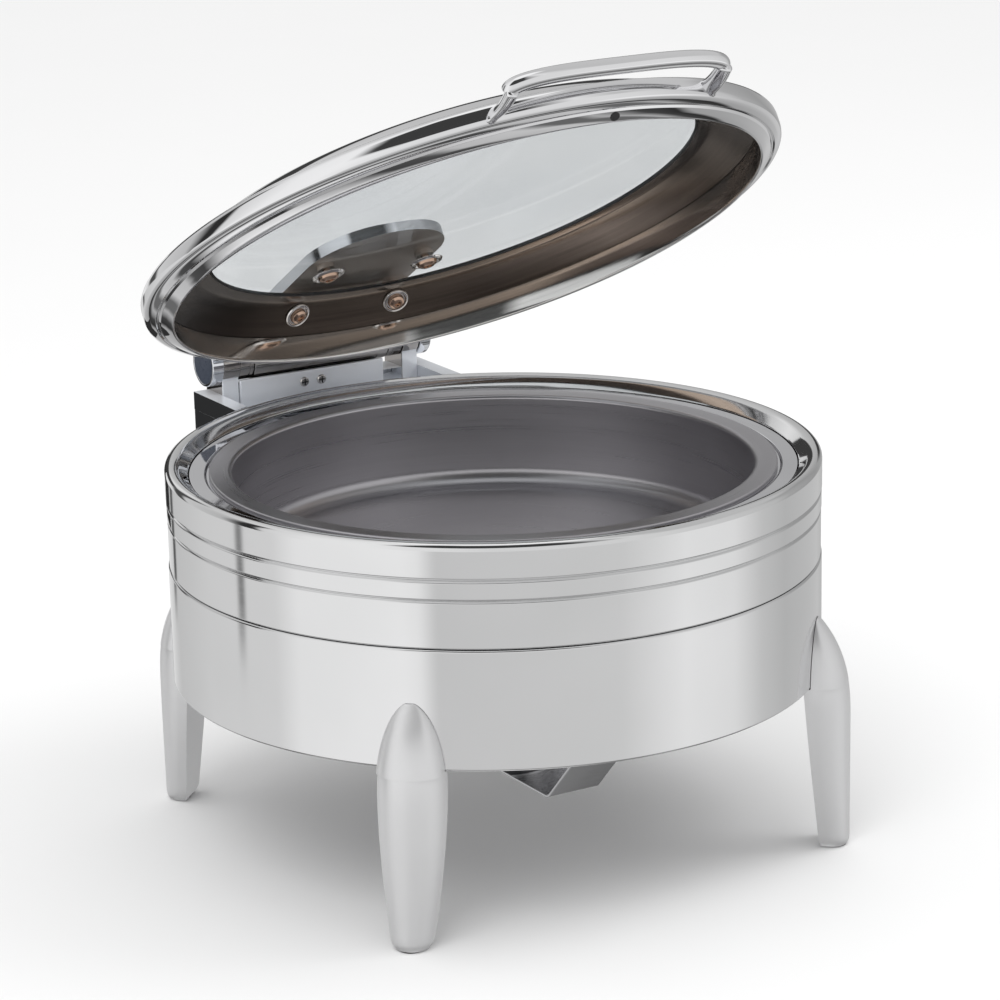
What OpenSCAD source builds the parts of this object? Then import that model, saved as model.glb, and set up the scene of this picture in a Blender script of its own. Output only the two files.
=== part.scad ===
// Round roll top chafer: a four-legged stand, a body with a water pan and a
// lift-out food pan, and a glazed lid on a friction hinge behind the body.
// The drum's axis is vertical, the handle is at -Y and the hinge at +Y.

/* [Drum] */
// Outer radius of the body and the stand
drum_r = 220; // [200:1:240]
// Height of the stand's lower edge above the table
skirt_bottom = 115.5; // [100:0.5:130]
// Height of the seam between the stand and the body
seam_z = 195; // [185:0.5:205]
// Height of the body's rolled rim above the table
rim_z = 264; // [258:0.5:270]
// Thickness of the stand's and body's sheet
sheet_t = 1.2; // [0.8:0.1:1.6]

/* [Pans] */
// Outer radius of the food pan's flange
pan_r = 190.5; // [188:0.5:191]
// Depth of the food pan below its flange
pan_depth = 64; // [50:1:68]

/* [Lid] */
// Angle that the lid stands open
lid_open = 32; // [0:1:58]
// Height of the lid's rim plane when the lid is shut
lid_z = 270; // [269:0.5:273]
// Outer radius of the lid's rim
lid_r = 221; // [219:0.5:224]
// Radius of the glass opening
glass_open_r = 170.6; // [160:0.2:174]
// Thickness of the glass
glass_t = 4; // [3:0.5:5]

/* [Hinge] */
// Distance of the hinge axis behind the drum's axis
hinge_y = 254; // [252:0.5:258]
// Height of the hinge axis
hinge_z = 285; // [284:0.5:287]
// Radius of the hinge shaft
shaft_r = 6; // [5:0.5:7]
// Radius of the hinge barrel
barrel_r = 15; // [14:0.5:15.5]
// Half the length of the hinge barrel
barrel_half = 54.8; // [50:0.2:55]

/* [Legs] */
// Half the widest width of a leg
leg_half_w = 22; // [18:0.5:25]
// Radius out to a leg's outer face
leg_out_r = 242.5; // [238:0.5:246]
// Height of a leg's upper tip
leg_top = 160; // [150:1:170]

/* [Burner] */
// Width of the hanging strap
strap_w = 39; // [30:1:50]
// Height of the strap's flat floor
strap_z = 49; // [45:1:60]
// Inside radius of the fuel cup
cup_r = 44; // [42:0.5:46]

/* [Hidden] */

$fn = 96;
drum_y = -25;          // the drum's axis, so that the whole object is centred on the origin
fit_gap = 0.04;        // radial gap of a part fixed on the shaft
run_gap = 0.06;        // radial gap of a part that turns on the shaft

chrome = "silver";
steel = "lightsteelblue";
dark = "dimgray";

// Frames ---------------------------------------------------------------

module at_drum() translate([0, drum_y, 0]) children();

// Coordinates of the shut lid: x, y from the drum's axis, z from the rim plane.
module on_lid()
    at_drum()
        translate([0, hinge_y, hinge_z])
            rotate([-lid_open, 0, 0])
                translate([0, -hinge_y, lid_z - hinge_z]) children();

// Along X, centred on the hinge axis.
module on_hinge() at_drum() translate([0, hinge_y, hinge_z]) rotate([0, 90, 0]) children();

// Sheet-metal profiles -------------------------------------------------

function unit(v) = v / norm(v);
function left_of(a, b) = let (d = unit(b - a)) [-d[1], d[0]];
function miter(p, i) =
    let (
        last = len(p) - 1,
        before = i == 0 ? left_of(p[0], p[1]) : left_of(p[i - 1], p[i]),
        after = i == last ? before : left_of(p[i], p[i + 1]),
        m = unit(before + after)
    ) m / max(0.35, m * before);
// A path of [radius, height] points, thickened to its left.
function sheet(p, t) = concat(
    p, [for (i = [len(p) - 1:-1:0]) p[i] + t * miter(p, i)]
);
function arc(centre, r, a0, a1, n) = [
    for (i = [0:n]) centre + r * [cos(a0 + (a1 - a0) * i / n), sin(a0 + (a1 - a0) * i / n)]
];

module spin(points) rotate_extrude() polygon(points);

// Stand ----------------------------------------------------------------

module stand_skirt() {
    lip = 1.5;
    path = concat(
        [[212, skirt_bottom]],
        arc([drum_r - lip, skirt_bottom + lip], lip, -90, 0, 3),
        arc([drum_r - lip, seam_z - lip], lip, 0, 90, 3),
        [[206, seam_z]]
    );
    color(chrome) at_drum() difference() {
        spin(sheet(path, sheet_t));
        for (a = leg_angles, z = leg_screw_z)
            rotate([0, 0, a]) translate([drum_r - 3, 0, z]) rotate([0, 90, 0]) cylinder(r = 2.6, h = 6);
        for (a = [90, 270], x = [-1, 1])
            rotate([0, 0, a]) translate([drum_r - 3, x * rivet_x, rivet_z])
                rotate([0, 90, 0]) cylinder(r = 2.1, h = 2.15);
    }
}

// Legs: a D-shaped section swept up the outside of the stand.
leg_angles = [-135, -45, 45, 135];
leg_bottom = 1;
leg_side = 5.5;                 // height of the flat side wall
leg_wide_z = 105;               // height of the widest section
leg_screw_z = [128, 142];
back_r = drum_r + 0.25;         // the leg's back where it lies on the stand
step_z = skirt_bottom - 0.2;    // the leg steps in under the stand's edge

function leg_half(z) = z <= leg_wide_z
    ? 13 + (leg_half_w - 13) * sin(90 * z / leg_wide_z)
    : leg_half_w * pow(max(0, 1 - pow((z - leg_wide_z) / (leg_top + 0.2 - leg_wide_z), 2)), 0.55);
function leg_out(z) = z <= 87
    ? leg_out_r
    : leg_out_r - (leg_out_r - back_r - 0.2) * pow((z - 87) / (leg_top - 87), 2.8);
function leg_in(z) = 224.5 - 10 * z / 115;
function under(z) = z <= step_z;
function foot_round(z) = z < 6 ? sqrt(1 - pow((6 - z) / 9, 2)) : 1;
leg_n = 14;
// Section at height z: the crowned face from one edge to the other, then the back.
function leg_ring(z) =
    let (
        w = leg_half(z) * foot_round(z),
        out = leg_out(z),
        back = under(z) ? leg_in(z) : back_r,
        mid = (out + back) / 2,
        k = foot_round(z),
        side = leg_side * (under(z) ? 1 : (leg_top - z) / (leg_top - step_z)),
        face = [for (i = [0:leg_n]) let (
                t = -cos(180 * i / leg_n),
                edge = (under(z) ? back : sqrt(back * back - w * w)) + side
            ) [edge + (out - edge) * pow(1 - pow(abs(t), 2.2), 0.55), t * w]],
        rear = [for (i = [0:leg_n]) let (t = cos(180 * i / leg_n))
            [under(z) ? back : sqrt(back * back - t * t * w * w), t * w]]
    ) [for (p = concat(face, rear)) [mid + (p[0] - mid) * k, p[1], z]];
leg_levels = concat(
    [leg_bottom, 2, 3.5, 6], [for (z = [14:12:98]) z], [107, step_z],
    [step_z + 0.1, 124, 132, 139, 145, 150, 154, 157, leg_top - 0.6]
);
module leg(angle) {
    m = 2 * (leg_n + 1);
    rings = [for (z = leg_levels) leg_ring(z)];
    last = len(rings) - 1;
    points = [for (r = rings, p = r) p];
    sides = [for (j = [0:last - 1], i = [0:m - 1])
        [j * m + i, j * m + (i + 1) % m, (j + 1) * m + (i + 1) % m, (j + 1) * m + i]];
    bottom = [for (i = [0:leg_n - 1]) [m - 1 - i, m - 2 - i, i + 1, i]];
    top = [for (i = [0:leg_n - 1]) [for (k = [i, i + 1, m - 2 - i, m - 1 - i]) last * m + k]];
    quads = concat(sides, bottom, top);
    color(chrome) at_drum() rotate([0, 0, angle])
        polyhedron(points, [for (q = quads, s = [0, 1]) s == 0 ? [q[2], q[1], q[0]] : [q[3], q[2], q[0]]]);
}
module leg_front_left() leg(leg_angles[0]);
module leg_front_right() leg(leg_angles[1]);
module leg_rear_left() leg(leg_angles[3]);
module leg_rear_right() leg(leg_angles[2]);

module leg_screws()
    color(steel) at_drum()
        for (a = leg_angles, z = leg_screw_z)
            rotate([0, 0, a]) translate([drum_r - sheet_t, 0, z]) rotate([0, 90, 0]) {
                translate([0, 0, -3]) cylinder(r = 4.5, h = 2.6);
                translate([0, 0, -0.5]) cylinder(r = 2.5, h = 7.5);
            }

module foot_pads()
    color(dark) at_drum()
        for (a = leg_angles)
            rotate([0, 0, a]) translate([(leg_out_r + leg_in(0)) / 2, 0, 0]) cylinder(r = 7, h = leg_bottom);

// Burner hanger --------------------------------------------------------

strap_t = 1.5;
strap_flat = 95;                // half the length of the floor
tab_y = drum_r - sheet_t - 1.4; // outer face of the end tabs
tab_z = 177;
rivet_z = 184;
rivet_x = 12;

module burner_hanger() {
    half = concat(
        [[0, strap_z]],
        arc([strap_flat - 3, strap_z + 7], 7, -90, -44, 4),
        [[tab_y - 2, tab_z - 2], [tab_y, tab_z + 2], [tab_y, rivet_z + 7]]
    );
    path = concat([for (i = [len(half) - 1:-1:1]) [-half[i][0], half[i][1]]], half);
    color(chrome) at_drum() difference() {
        rotate([90, 0, 90]) linear_extrude(height = strap_w, center = true) polygon(sheet(path, strap_t));
        for (s = [-1, 1], x = [-1, 1])
            translate([x * rivet_x, s * (tab_y - 4), rivet_z]) rotate([-90 * s, 0, 0]) cylinder(r = 2.1, h = 8);
        for (x = [-1, 1]) translate([x * 10, 0, strap_z - 2]) cylinder(r = 2.1, h = 8);
    }
}

module hanger_rivets()
    color(steel) at_drum()
        for (a = [90, 270], x = [-1, 1])
            rotate([0, 0, a]) translate([tab_y - strap_t, x * rivet_x, rivet_z]) rotate([0, 90, 0]) {
                translate([0, 0, -1.3]) cylinder(r = 3.6, h = 1.3);
                translate([0, 0, -0.4]) cylinder(r = 2, h = 3.55);
            }

cup_floor = strap_z + strap_t;
cup_h = 40;
module fuel_cup()
    color(steel) at_drum() difference() {
        spin(sheet(concat(
            [[cup_r + 3, cup_floor + cup_h], [cup_r + 0.8, cup_floor + cup_h - 0.4]],
            [[cup_r, cup_floor + cup_h - 1.6], [cup_r, cup_floor + 3]],
            [[cup_r - 2, cup_floor + 1], [0, cup_floor + 1]]
        ), 1));
        for (x = [-1, 1]) translate([x * 10, 0, cup_floor - 2]) cylinder(r = 2.1, h = 6);
    }

module cup_rivets()
    color(steel) at_drum()
        for (x = [-1, 1])
            translate([x * 10, 0, 0]) {
                translate([0, 0, strap_z - 1.2]) cylinder(r = 3.6, h = 1.2);
                translate([0, 0, strap_z - 0.4]) cylinder(r = 2, h = 3.4);
                translate([0, 0, cup_floor + 1]) cylinder(r = 3.2, h = 0.9);
            }

// Body and pans --------------------------------------------------------

// The rolled rim: over the top, down the inner slope to the ledge.
module body_shell() {
    low_r = drum_r - 0.6;
    mid_r = drum_r - 0.3;
    path = concat(
        [[208, seam_z + 0.3], [low_r - 1.5, seam_z + 0.3], [low_r, seam_z + 1.8]],
        [[low_r, rim_z - 38.4], [low_r - 0.9, rim_z - 37.5], [mid_r, rim_z - 36.6]],
        [[mid_r, rim_z - 24.9], [mid_r - 0.9, rim_z - 24], [drum_r, rim_z - 23.1]],
        arc([drum_r - 4.5, rim_z - 4.5], 4.5, 0, 90, 6),
        [[drum_r - 6.5, rim_z - 0.2], [drum_r - 8.5, rim_z - 1], [drum_r - 10.2, rim_z - 2.4]],
        [[drum_r - 15, rim_z - 7], [drum_r - 15.8, rim_z - 7.9]]
    );
    color(chrome) at_drum() difference() {
        spin(sheet(path, sheet_t));
        for (x = base_bolt_x, z = base_bolt_z)
            translate([x, hinge_y - 60, z]) rotate([-90, 0, 0]) cylinder(r = 2.6, h = 30);
    }
}

ledge_z = rim_z - 8.2;
seat_z = rim_z - 10;
water_floor = 160;
module water_pan() {
    path = concat(
        [[drum_r - 1.6, seat_z - 0.2], [204, seat_z - 0.2], [203.6, ledge_z]],
        [[193.4, ledge_z], [192.2, seat_z], [184.5, seat_z], [182.5, seat_z - 2]],
        arc([167.8, water_floor + 12], 12, 0, -90, 6),
        [[0, water_floor]]
    );
    color(steel) at_drum() spin(sheet(path, 1));
}

module food_pan() {
    top = seat_z + 3.6;
    floor_z = top - pan_depth;
    path = concat(
        [[pan_r, seat_z + 0.05], [pan_r, top - 1.2], [pan_r - 1.3, top]],
        arc([178, top - 3.3], 3, 90, 180, 4),
        arc([160, floor_z + 12], 12, 0, -90, 6),
        [[0, floor_z]]
    );
    color(steel) at_drum() spin(sheet(path, 0.9));
}

// Hinge on the back of the body ----------------------------------------

ear_in = 67;
ear_out = 80;
ear_r = 15.5;
post_front = 11;                // the ears' posts, set back under their rings
base_half = 92;
base_low = 232;
base_top = 263;
base_back = 266;
notch_z = 250;
plate_y = 240.6;
plate_t = 3;
plate_left = -66.8;
plate_right = 50;
pad_top = 269;
screw_z = 264.5;
screw_x = [-15.5, -1.5];
base_bolt_x = [-70, -25, 25, 70];
base_bolt_z = [246];

module hinge_base() {
    pad_y = plate_y + plate_t;
    color(chrome) at_drum() difference() {
        union() {
            translate([-base_half, 190, base_low]) cube([2 * base_half, base_back - 190, base_top - base_low]);
            for (s = [-1, 1])
                translate([s * (ear_in + ear_out) / 2, 0, 0]) rotate([90, 0, 90])
                    linear_extrude(height = ear_out - ear_in, center = true) union() {
                        translate([hinge_y, hinge_z]) circle(r = ear_r);
                        translate([hinge_y - post_front, notch_z])
                            square([post_front + ear_r, hinge_z - notch_z]);
                    }
            translate([plate_left, pad_y, base_top - 1])
                cube([plate_right - plate_left, base_back - pad_y - 2, pad_top - base_top + 1]);
        }
        cylinder(r = drum_r + 0.15, h = 400);
        translate([-ear_out, 180, notch_z]) cube([2 * ear_out, hinge_y - post_front - 180, 60]);
        translate([-ear_in, 180, notch_z]) cube([2 * ear_in, pad_y - 180, 60]);
        translate([-ear_out - 1, hinge_y, hinge_z]) rotate([0, 90, 0])
            cylinder(r = shaft_r + fit_gap, h = 2 * ear_out + 2);
        for (x = screw_x) translate([x, pad_y - 1, screw_z]) rotate([-90, 0, 0]) cylinder(r = 1.55, h = 10);
        for (x = base_bolt_x, z = base_bolt_z)
            translate([x, 195, z]) rotate([-90, 0, 0]) cylinder(r = 2.55, h = hinge_y - 30 - 195 + 18);
    }
}

// The bolts pass from inside the body through its wall into the base.
module base_bolts()
    color(steel) at_drum()
        for (x = base_bolt_x, z = base_bolt_z) {
            wall = sqrt(pow(drum_r - 0.6 - sheet_t, 2) - x * x);
            near = sqrt(pow(drum_r - 0.6 - sheet_t, 2) - pow(abs(x) + 4.5, 2));
            translate([x, near - 3, z]) rotate([-90, 0, 0]) cylinder(r = 4.5, h = 3);
            translate([x, near - 1, z]) rotate([-90, 0, 0]) cylinder(r = 2.5, h = wall - near + 16);
        }

module hinge_front_plate()
    color(chrome) at_drum() difference() {
        translate([plate_left, plate_y, notch_z + 1])
            cube([plate_right - plate_left, plate_t, 272.5 - notch_z - 1]);
        for (x = screw_x) translate([x, plate_y - 1, screw_z]) rotate([-90, 0, 0]) cylinder(r = 1.8, h = 6);
    }

// Cross-recessed pan-head screws.
module plate_screws()
    color(steel) at_drum()
        for (x = screw_x)
            translate([x, plate_y, screw_z]) rotate([90, 0, 0]) difference() {
                union() {
                    cylinder(r = 3.6, h = 1.9);
                    translate([0, 0, -10]) cylinder(r = 1.5, h = 10.5);
                }
                for (a = [0, 90]) rotate([0, 0, a]) translate([-2.2, -0.45, 0.9]) cube([4.4, 0.9, 2]);
            }

shaft_half = 87;
module hinge_shaft()
    color(steel) on_hinge() translate([0, 0, -shaft_half]) cylinder(r = shaft_r, h = 2 * shaft_half);

cap_r = 16.3;
cap_in = 80.3;
cap_out = 89.5;
insert_t = 1.4;
module end_cap(side)
    color(chrome) on_hinge() rotate([side > 0 ? 0 : 180, 0, 0]) difference() {
        translate([0, 0, cap_in]) cylinder(r = cap_r, h = cap_out - cap_in);
        translate([0, 0, cap_in - 1]) cylinder(r = shaft_r + fit_gap, h = shaft_half + 0.3 - cap_in + 1);
        translate([0, 0, cap_out - insert_t]) cylinder(r = 14.3, h = insert_t + 1);
    }
module end_cap_left() end_cap(-1);
module end_cap_right() end_cap(1);

module cap_insert(side)
    color(dark) on_hinge() rotate([side > 0 ? 0 : 180, 0, 0])
        translate([0, 0, cap_out - insert_t + 0.05]) cylinder(r = 14.2, h = insert_t - 0.35);
module cap_insert_left() cap_insert(-1);
module cap_insert_right() cap_insert(1);

module ring_on_shaft(side, r, from, to, bore)
    on_hinge() rotate([side > 0 ? 0 : 180, 0, 0]) translate([0, 0, from]) difference() {
        cylinder(r = r, h = to - from);
        translate([0, 0, -1]) cylinder(r = bore, h = to - from + 2);
    }
module bearing_sleeve_left() color(chrome) ring_on_shaft(-1, 14.6, 55.5, 66.6, shaft_r + fit_gap);
module bearing_sleeve_right() color(chrome) ring_on_shaft(1, 14.6, 55.5, 66.6, shaft_r + fit_gap);

bush_r = 9;
bush_len = 22;
module friction_bush_left()
    color(dark) ring_on_shaft(-1, bush_r, barrel_half - bush_len, barrel_half, shaft_r + run_gap);
module friction_bush_right()
    color(dark) ring_on_shaft(1, bush_r, barrel_half - bush_len, barrel_half, shaft_r + run_gap);

// Lid ------------------------------------------------------------------

flange_d = 26.3;                // underside of the glass seat
seat_end = 181;
crease_r = 206;
crease_d = 10;
shell_t = 1.2;
// Underside of the brushed wall between the glass seat and the crease.
function wall_d(r) = r <= seat_end
    ? flange_d
    : flange_d - (flange_d - crease_d) * pow((r - seat_end) / (crease_r - seat_end), 1.3);
wall_slope = 33;                // tilt of the wall where its bolts sit
axis_d = hinge_z - lid_z;       // hinge axis in the lid's coordinates

// The glass sits in the shell's opening, on the gasket's inner lip.
gasket_lip_r = 168.8;
glass_r = 169.95;
glass_low = 26.65;
glass_top = glass_low + glass_t;
glass_bolt = [39.2, 128];
wall_bolt = [39.7, 187.6];
wall_bolt_d = wall_d(norm(wall_bolt));

// Coordinates of a bolt through the sloping wall: +Z up through the shell.
module at_wall_bolt(s)
    rotate([0, 0, -s * atan(wall_bolt[0] / wall_bolt[1])])
        translate([0, norm(wall_bolt), wall_bolt_d]) rotate([-wall_slope, 0, 0]) children();

module lid_shell() {
    under_path = concat(
        [[glass_open_r, flange_d]],
        [for (r = [seat_end:2.5:crease_r]) [r, wall_d(r)]],
        [[215.7, crease_d]]
    );
    color(steel) on_lid() difference() {
        spin(sheet(under_path, shell_t));
        for (s = [-1, 1]) at_wall_bolt(s) translate([0, 0, -6]) cylinder(r = 3.3, h = 12);
    }
}

// The rim is a hollow formed ring, open at its top under the shell's flange.
module lid_rim() {
    path = concat(
        [[206.6, crease_d - 0.05], [203.2, -8.6], [203.1, -9.8], [203.8, -10.6], [205, -10.2]],
        [[211.6, -6], [212.3, -4.8], [213.3, -4.5], [214.2, -5.1], [217, -3.8]],
        [[219.7, -1.6], [lid_r, 1.2]],
        arc([lid_r - 4, 7.4], 4, 0, 90, 5),
        [[215.9, 11.4]]
    );
    color(chrome) on_lid() spin(sheet(path, shell_t));
}

module glass_gasket()
    color(dark) on_lid() spin([
        [gasket_lip_r, 25.9], [glass_open_r - 0.05, 25.9], [glass_open_r - 0.05, flange_d + shell_t + 0.05],
        [174, flange_d + shell_t + 0.05], [174, flange_d + shell_t + 0.9], [173.4, flange_d + shell_t + 1.3],
        [glass_r + 0.05, flange_d + shell_t + 1.3], [glass_r + 0.05, glass_low - 0.05],
        [gasket_lip_r, glass_low - 0.05]
    ]);

module glass_panel()
    color("lightcyan", 0.4) on_lid() difference() {
        translate([0, 0, glass_low]) cylinder(r = glass_r, h = glass_t);
        for (s = [-1, 1]) translate([s * glass_bolt[0], glass_bolt[1], glass_low - 1]) cylinder(r = 4.2, h = 8);
    }

arm_half = 52;
arm_round_y = 130;              // centre of the arm's round front end
arm_low = glass_top + 3.75;
arm_high = arm_low + 8.5;
// The arm lies over the glass, steps down over the shell and ends in the barrel.
module lid_arm() {
    side = [
        [arm_round_y - arm_half - 2, arm_low], [183, arm_low], [186, 30], [196, 24.5], [207, 15], [224, 15],
        [hinge_y - 10, axis_d - 8], [hinge_y, axis_d], [hinge_y, axis_d + barrel_r],
        [232, arm_high - 5], [205, arm_high - 0.8], [180, arm_high], [90, arm_high - 0.5],
        [arm_round_y - arm_half - 2, arm_high - 2]
    ];
    color(chrome) on_lid() difference() {
        union() {
            intersection() {
                translate([0, 0, -5]) linear_extrude(height = 60) union() {
                    translate([0, arm_round_y]) circle(r = arm_half);
                    translate([-arm_half, arm_round_y]) square([2 * arm_half, 105]);
                    translate([-barrel_half, 229]) square([2 * barrel_half, hinge_y - 229]);
                }
                rotate([90, 0, 90]) linear_extrude(height = 130, center = true) polygon(side);
            }
            translate([-barrel_half, hinge_y, axis_d]) rotate([0, 90, 0])
                cylinder(r = barrel_r, h = 2 * barrel_half);
        }
        translate([-60, hinge_y, axis_d]) rotate([0, 90, 0]) cylinder(r = shaft_r + run_gap + 0.6, h = 120);
        for (s = [-1, 1])
            translate([s * (barrel_half - bush_len / 2), hinge_y, axis_d]) rotate([0, 90, 0])
                cylinder(r = bush_r + 0.02, h = bush_len + 0.2, center = true);
        for (s = [-1, 1]) {
            translate([s * glass_bolt[0], glass_bolt[1], arm_low - 1]) cylinder(r = 3.05, h = 7.5);
            at_wall_bolt(s) translate([0, 0, 2]) cylinder(r = 3.05, h = 14);
        }
    }
}

module arm_pads()
    color(steel) on_lid()
        for (s = [-1, 1])
            translate([s * glass_bolt[0], glass_bolt[1], glass_top]) difference() {
                cylinder(r = 6.4, h = arm_low - glass_top);
                translate([0, 0, -1]) cylinder(r = 3.3, h = 10);
            }

// Spacers stand between the shell and the arm around the wall bolts.
module arm_spacers()
    color(steel) on_lid()
        for (s = [-1, 1])
            at_wall_bolt(s) translate([0, 0, shell_t + 0.25]) difference() {
                cylinder(r = 6, h = 4.6);
                translate([0, 0, -1]) cylinder(r = 3.3, h = 10);
            }

glass_washer_t = 1.4;
module glass_bolt_washers()
    color(steel) on_lid()
        for (s = [-1, 1])
            translate([s * glass_bolt[0], glass_bolt[1], glass_low - glass_washer_t]) difference() {
                cylinder(r1 = 10.2, r2 = 12.6, h = glass_washer_t);
                translate([0, 0, -1]) cylinder(r = 3.3, h = 4);
            }
module glass_bolts()
    color(steel) on_lid()
        for (s = [-1, 1])
            translate([s * glass_bolt[0], glass_bolt[1], glass_low - glass_washer_t]) difference() {
                union() {
                    translate([0, 0, -3]) cylinder(r1 = 5.6, r2 = 7.5, h = 3);
                    translate([0, 0, -1]) cylinder(r = 3, h = arm_low - glass_low + glass_washer_t + 6.5);
                }
                translate([0, 0, -4]) cylinder(r = 2.3, h = 2.6, $fn = 6);
            }

module wall_bolt_washers()
    color(steel) on_lid()
        for (s = [-1, 1])
            at_wall_bolt(s) translate([0, 0, -2.05]) difference() {
                cylinder(r1 = 8.4, r2 = 10, h = 1.2);
                translate([0, 0, -1]) cylinder(r = 3.3, h = 4);
            }
module wall_bolts()
    color(steel) on_lid()
        for (s = [-1, 1])
            at_wall_bolt(s) translate([0, 0, -2.05]) difference() {
                union() {
                    translate([0, 0, -2.6]) cylinder(r1 = 4.8, r2 = 6.3, h = 2.6);
                    translate([0, 0, -1]) cylinder(r = 3, h = 16.5);
                }
                translate([0, 0, -3.6]) cylinder(r = 2, h = 2.4, $fn = 6);
            }

// Handle: an arched bar on two flattened posts at the front of the rim.
bar_half = 77;
bar_r = 5.4;
bar_end = [-230, 8.5];
bar_rise = [-9, 4];
bar_n = 36;
bar_sides = 14;
function bar_point(a) = let (c = pow(max(0, 1 - pow(abs(sin(a)), 3.4)), 0.5))
    [bar_half * sin(a), bar_end[0] + bar_rise[0] * c, bar_end[1] + bar_rise[1] * c];
function bar_angle(i) = -90 + 180 * i / bar_n;
module handle_bar() {
    lean = unit([0, bar_rise[0], bar_rise[1]]);
    points = [for (i = [0:bar_n]) let (
            p = bar_point(bar_angle(i)),
            q = unit(bar_point(min(90, bar_angle(i) + 1)) - bar_point(max(-90, bar_angle(i) - 1))),
            n = unit(lean - q * (lean * q)),
            b = cross(q, n)
        ) for (k = [0:bar_sides - 1])
            p + bar_r * (cos(360 * k / bar_sides) * n + sin(360 * k / bar_sides) * b)];
    tube = [for (i = [0:bar_n - 1], k = [0:bar_sides - 1])
        let (k2 = (k + 1) % bar_sides) [i * bar_sides + k, i * bar_sides + k2,
            (i + 1) * bar_sides + k2, (i + 1) * bar_sides + k]];
    color(chrome) on_lid() polyhedron(points, concat(
        tube,
        [[for (k = [bar_sides - 1:-1:0]) k]],
        [[for (k = [0:bar_sides - 1]) bar_n * bar_sides + k]]
    ));
}

post_foot = [78, -206.9, 3.5];
module handle_post(s) {
    seat_r = lid_r + 0.1;
    color(chrome) on_lid() difference() {
        hull() {
            translate([s * bar_half, bar_end[0], bar_end[1] - bar_r - 0.4]) rotate([25, 0, 0])
                cylinder(r = 4.6, h = 0.6, $fn = 32);
            translate([s * post_foot[0], post_foot[1] + 2, post_foot[2]]) rotate([90, 0, 0]) rotate([0, 0, -s * 45])
                resize([13.6, 7.6, 1]) cylinder(r = 5, h = 1, $fn = 32);
        }
        cylinder(r = seat_r, h = 60, center = true);
    }
}
module handle_post_left() handle_post(-1);
module handle_post_right() handle_post(1);

bumper_r = 208;
module lid_bumper()
    color(dark) on_lid() translate([4, -bumper_r, -8.35]) rotate([-32, 0, 0])
        translate([0, 0, -0.55]) cylinder(r = 3.2, h = 0.55);

stand_skirt();
leg_front_left();
leg_front_right();
leg_rear_left();
leg_rear_right();
leg_screws();
foot_pads();
burner_hanger();
hanger_rivets();
fuel_cup();
cup_rivets();
body_shell();
water_pan();
food_pan();
hinge_base();
base_bolts();
hinge_front_plate();
plate_screws();
hinge_shaft();
end_cap_left();
end_cap_right();
cap_insert_left();
cap_insert_right();
bearing_sleeve_left();
bearing_sleeve_right();
friction_bush_left();
friction_bush_right();
lid_arm();
glass_bolts();
glass_bolt_washers();
wall_bolts();
wall_bolt_washers();
arm_pads();
arm_spacers();
lid_shell();
lid_rim();
glass_gasket();
glass_panel();
handle_bar();
handle_post_left();
handle_post_right();
lid_bumper();
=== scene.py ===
"""Round roll-top chafer: the finished look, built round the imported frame.

Lengths are in millimetres. The frame's own are in metres.
"""
import math

import bmesh
import bpy
from mathutils import Matrix, Vector


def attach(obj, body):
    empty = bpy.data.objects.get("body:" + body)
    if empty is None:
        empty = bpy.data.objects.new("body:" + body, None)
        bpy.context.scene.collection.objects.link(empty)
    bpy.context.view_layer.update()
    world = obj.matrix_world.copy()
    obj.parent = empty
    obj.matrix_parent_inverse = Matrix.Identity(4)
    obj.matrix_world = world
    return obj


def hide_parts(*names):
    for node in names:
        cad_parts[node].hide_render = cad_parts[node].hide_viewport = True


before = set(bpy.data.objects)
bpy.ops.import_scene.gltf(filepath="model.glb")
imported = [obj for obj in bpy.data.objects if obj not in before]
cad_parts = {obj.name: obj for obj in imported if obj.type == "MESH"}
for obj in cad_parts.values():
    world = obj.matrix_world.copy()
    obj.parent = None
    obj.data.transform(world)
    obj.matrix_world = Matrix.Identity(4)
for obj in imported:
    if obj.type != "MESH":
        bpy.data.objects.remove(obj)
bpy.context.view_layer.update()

MM = 0.001
DRUM_Y = -25.0  # the drum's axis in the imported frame
LID_OPEN = math.radians(32)
HINGE_Y, HINGE_Z = 254.0, 285.0  # the hinge axis, from the drum's axis
LID_Z = 270.0  # the shut lid's rim plane
AXIS_D = HINGE_Z - LID_Z


# Frames ----


def drum(x, y, z):
    """A point given from the drum's axis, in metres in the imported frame."""
    return Vector((x, y + DRUM_Y, z)) * MM


def lid(x, y, d):
    """A point given in the shut lid's coordinates, d above its rim plane, carried to the open lid."""
    u, v = y - HINGE_Y, d - AXIS_D
    c, s = math.cos(LID_OPEN), math.sin(LID_OPEN)
    return drum(x, HINGE_Y + u * c + v * s, HINGE_Z - u * s + v * c)


def turned(place, normal):
    """A direction carried the way place carries a point."""
    return (place(*normal) - place(0, 0, 0)).normalized()


# Mesh building ----

TINY = 1e-5  # points closer than this are one point
ON_AXIS = 1e-4  # a smaller radius lies on the axis
STRAIGHTEST, SHARPEST = math.radians(89), math.radians(1)  # half the angle of a corner that is rounded
SIDE_SHARE = 0.49  # how much of a side one fillet may take
ARC_STEPS, BEVEL_STEPS = 5, 3
LONGEST_MITRE = 0.35  # the least cosine a mitred offset is divided by
LEAST_FILLET, EASED = 0.05, 0.45
SHARP_EDGE = math.radians(20)


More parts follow.
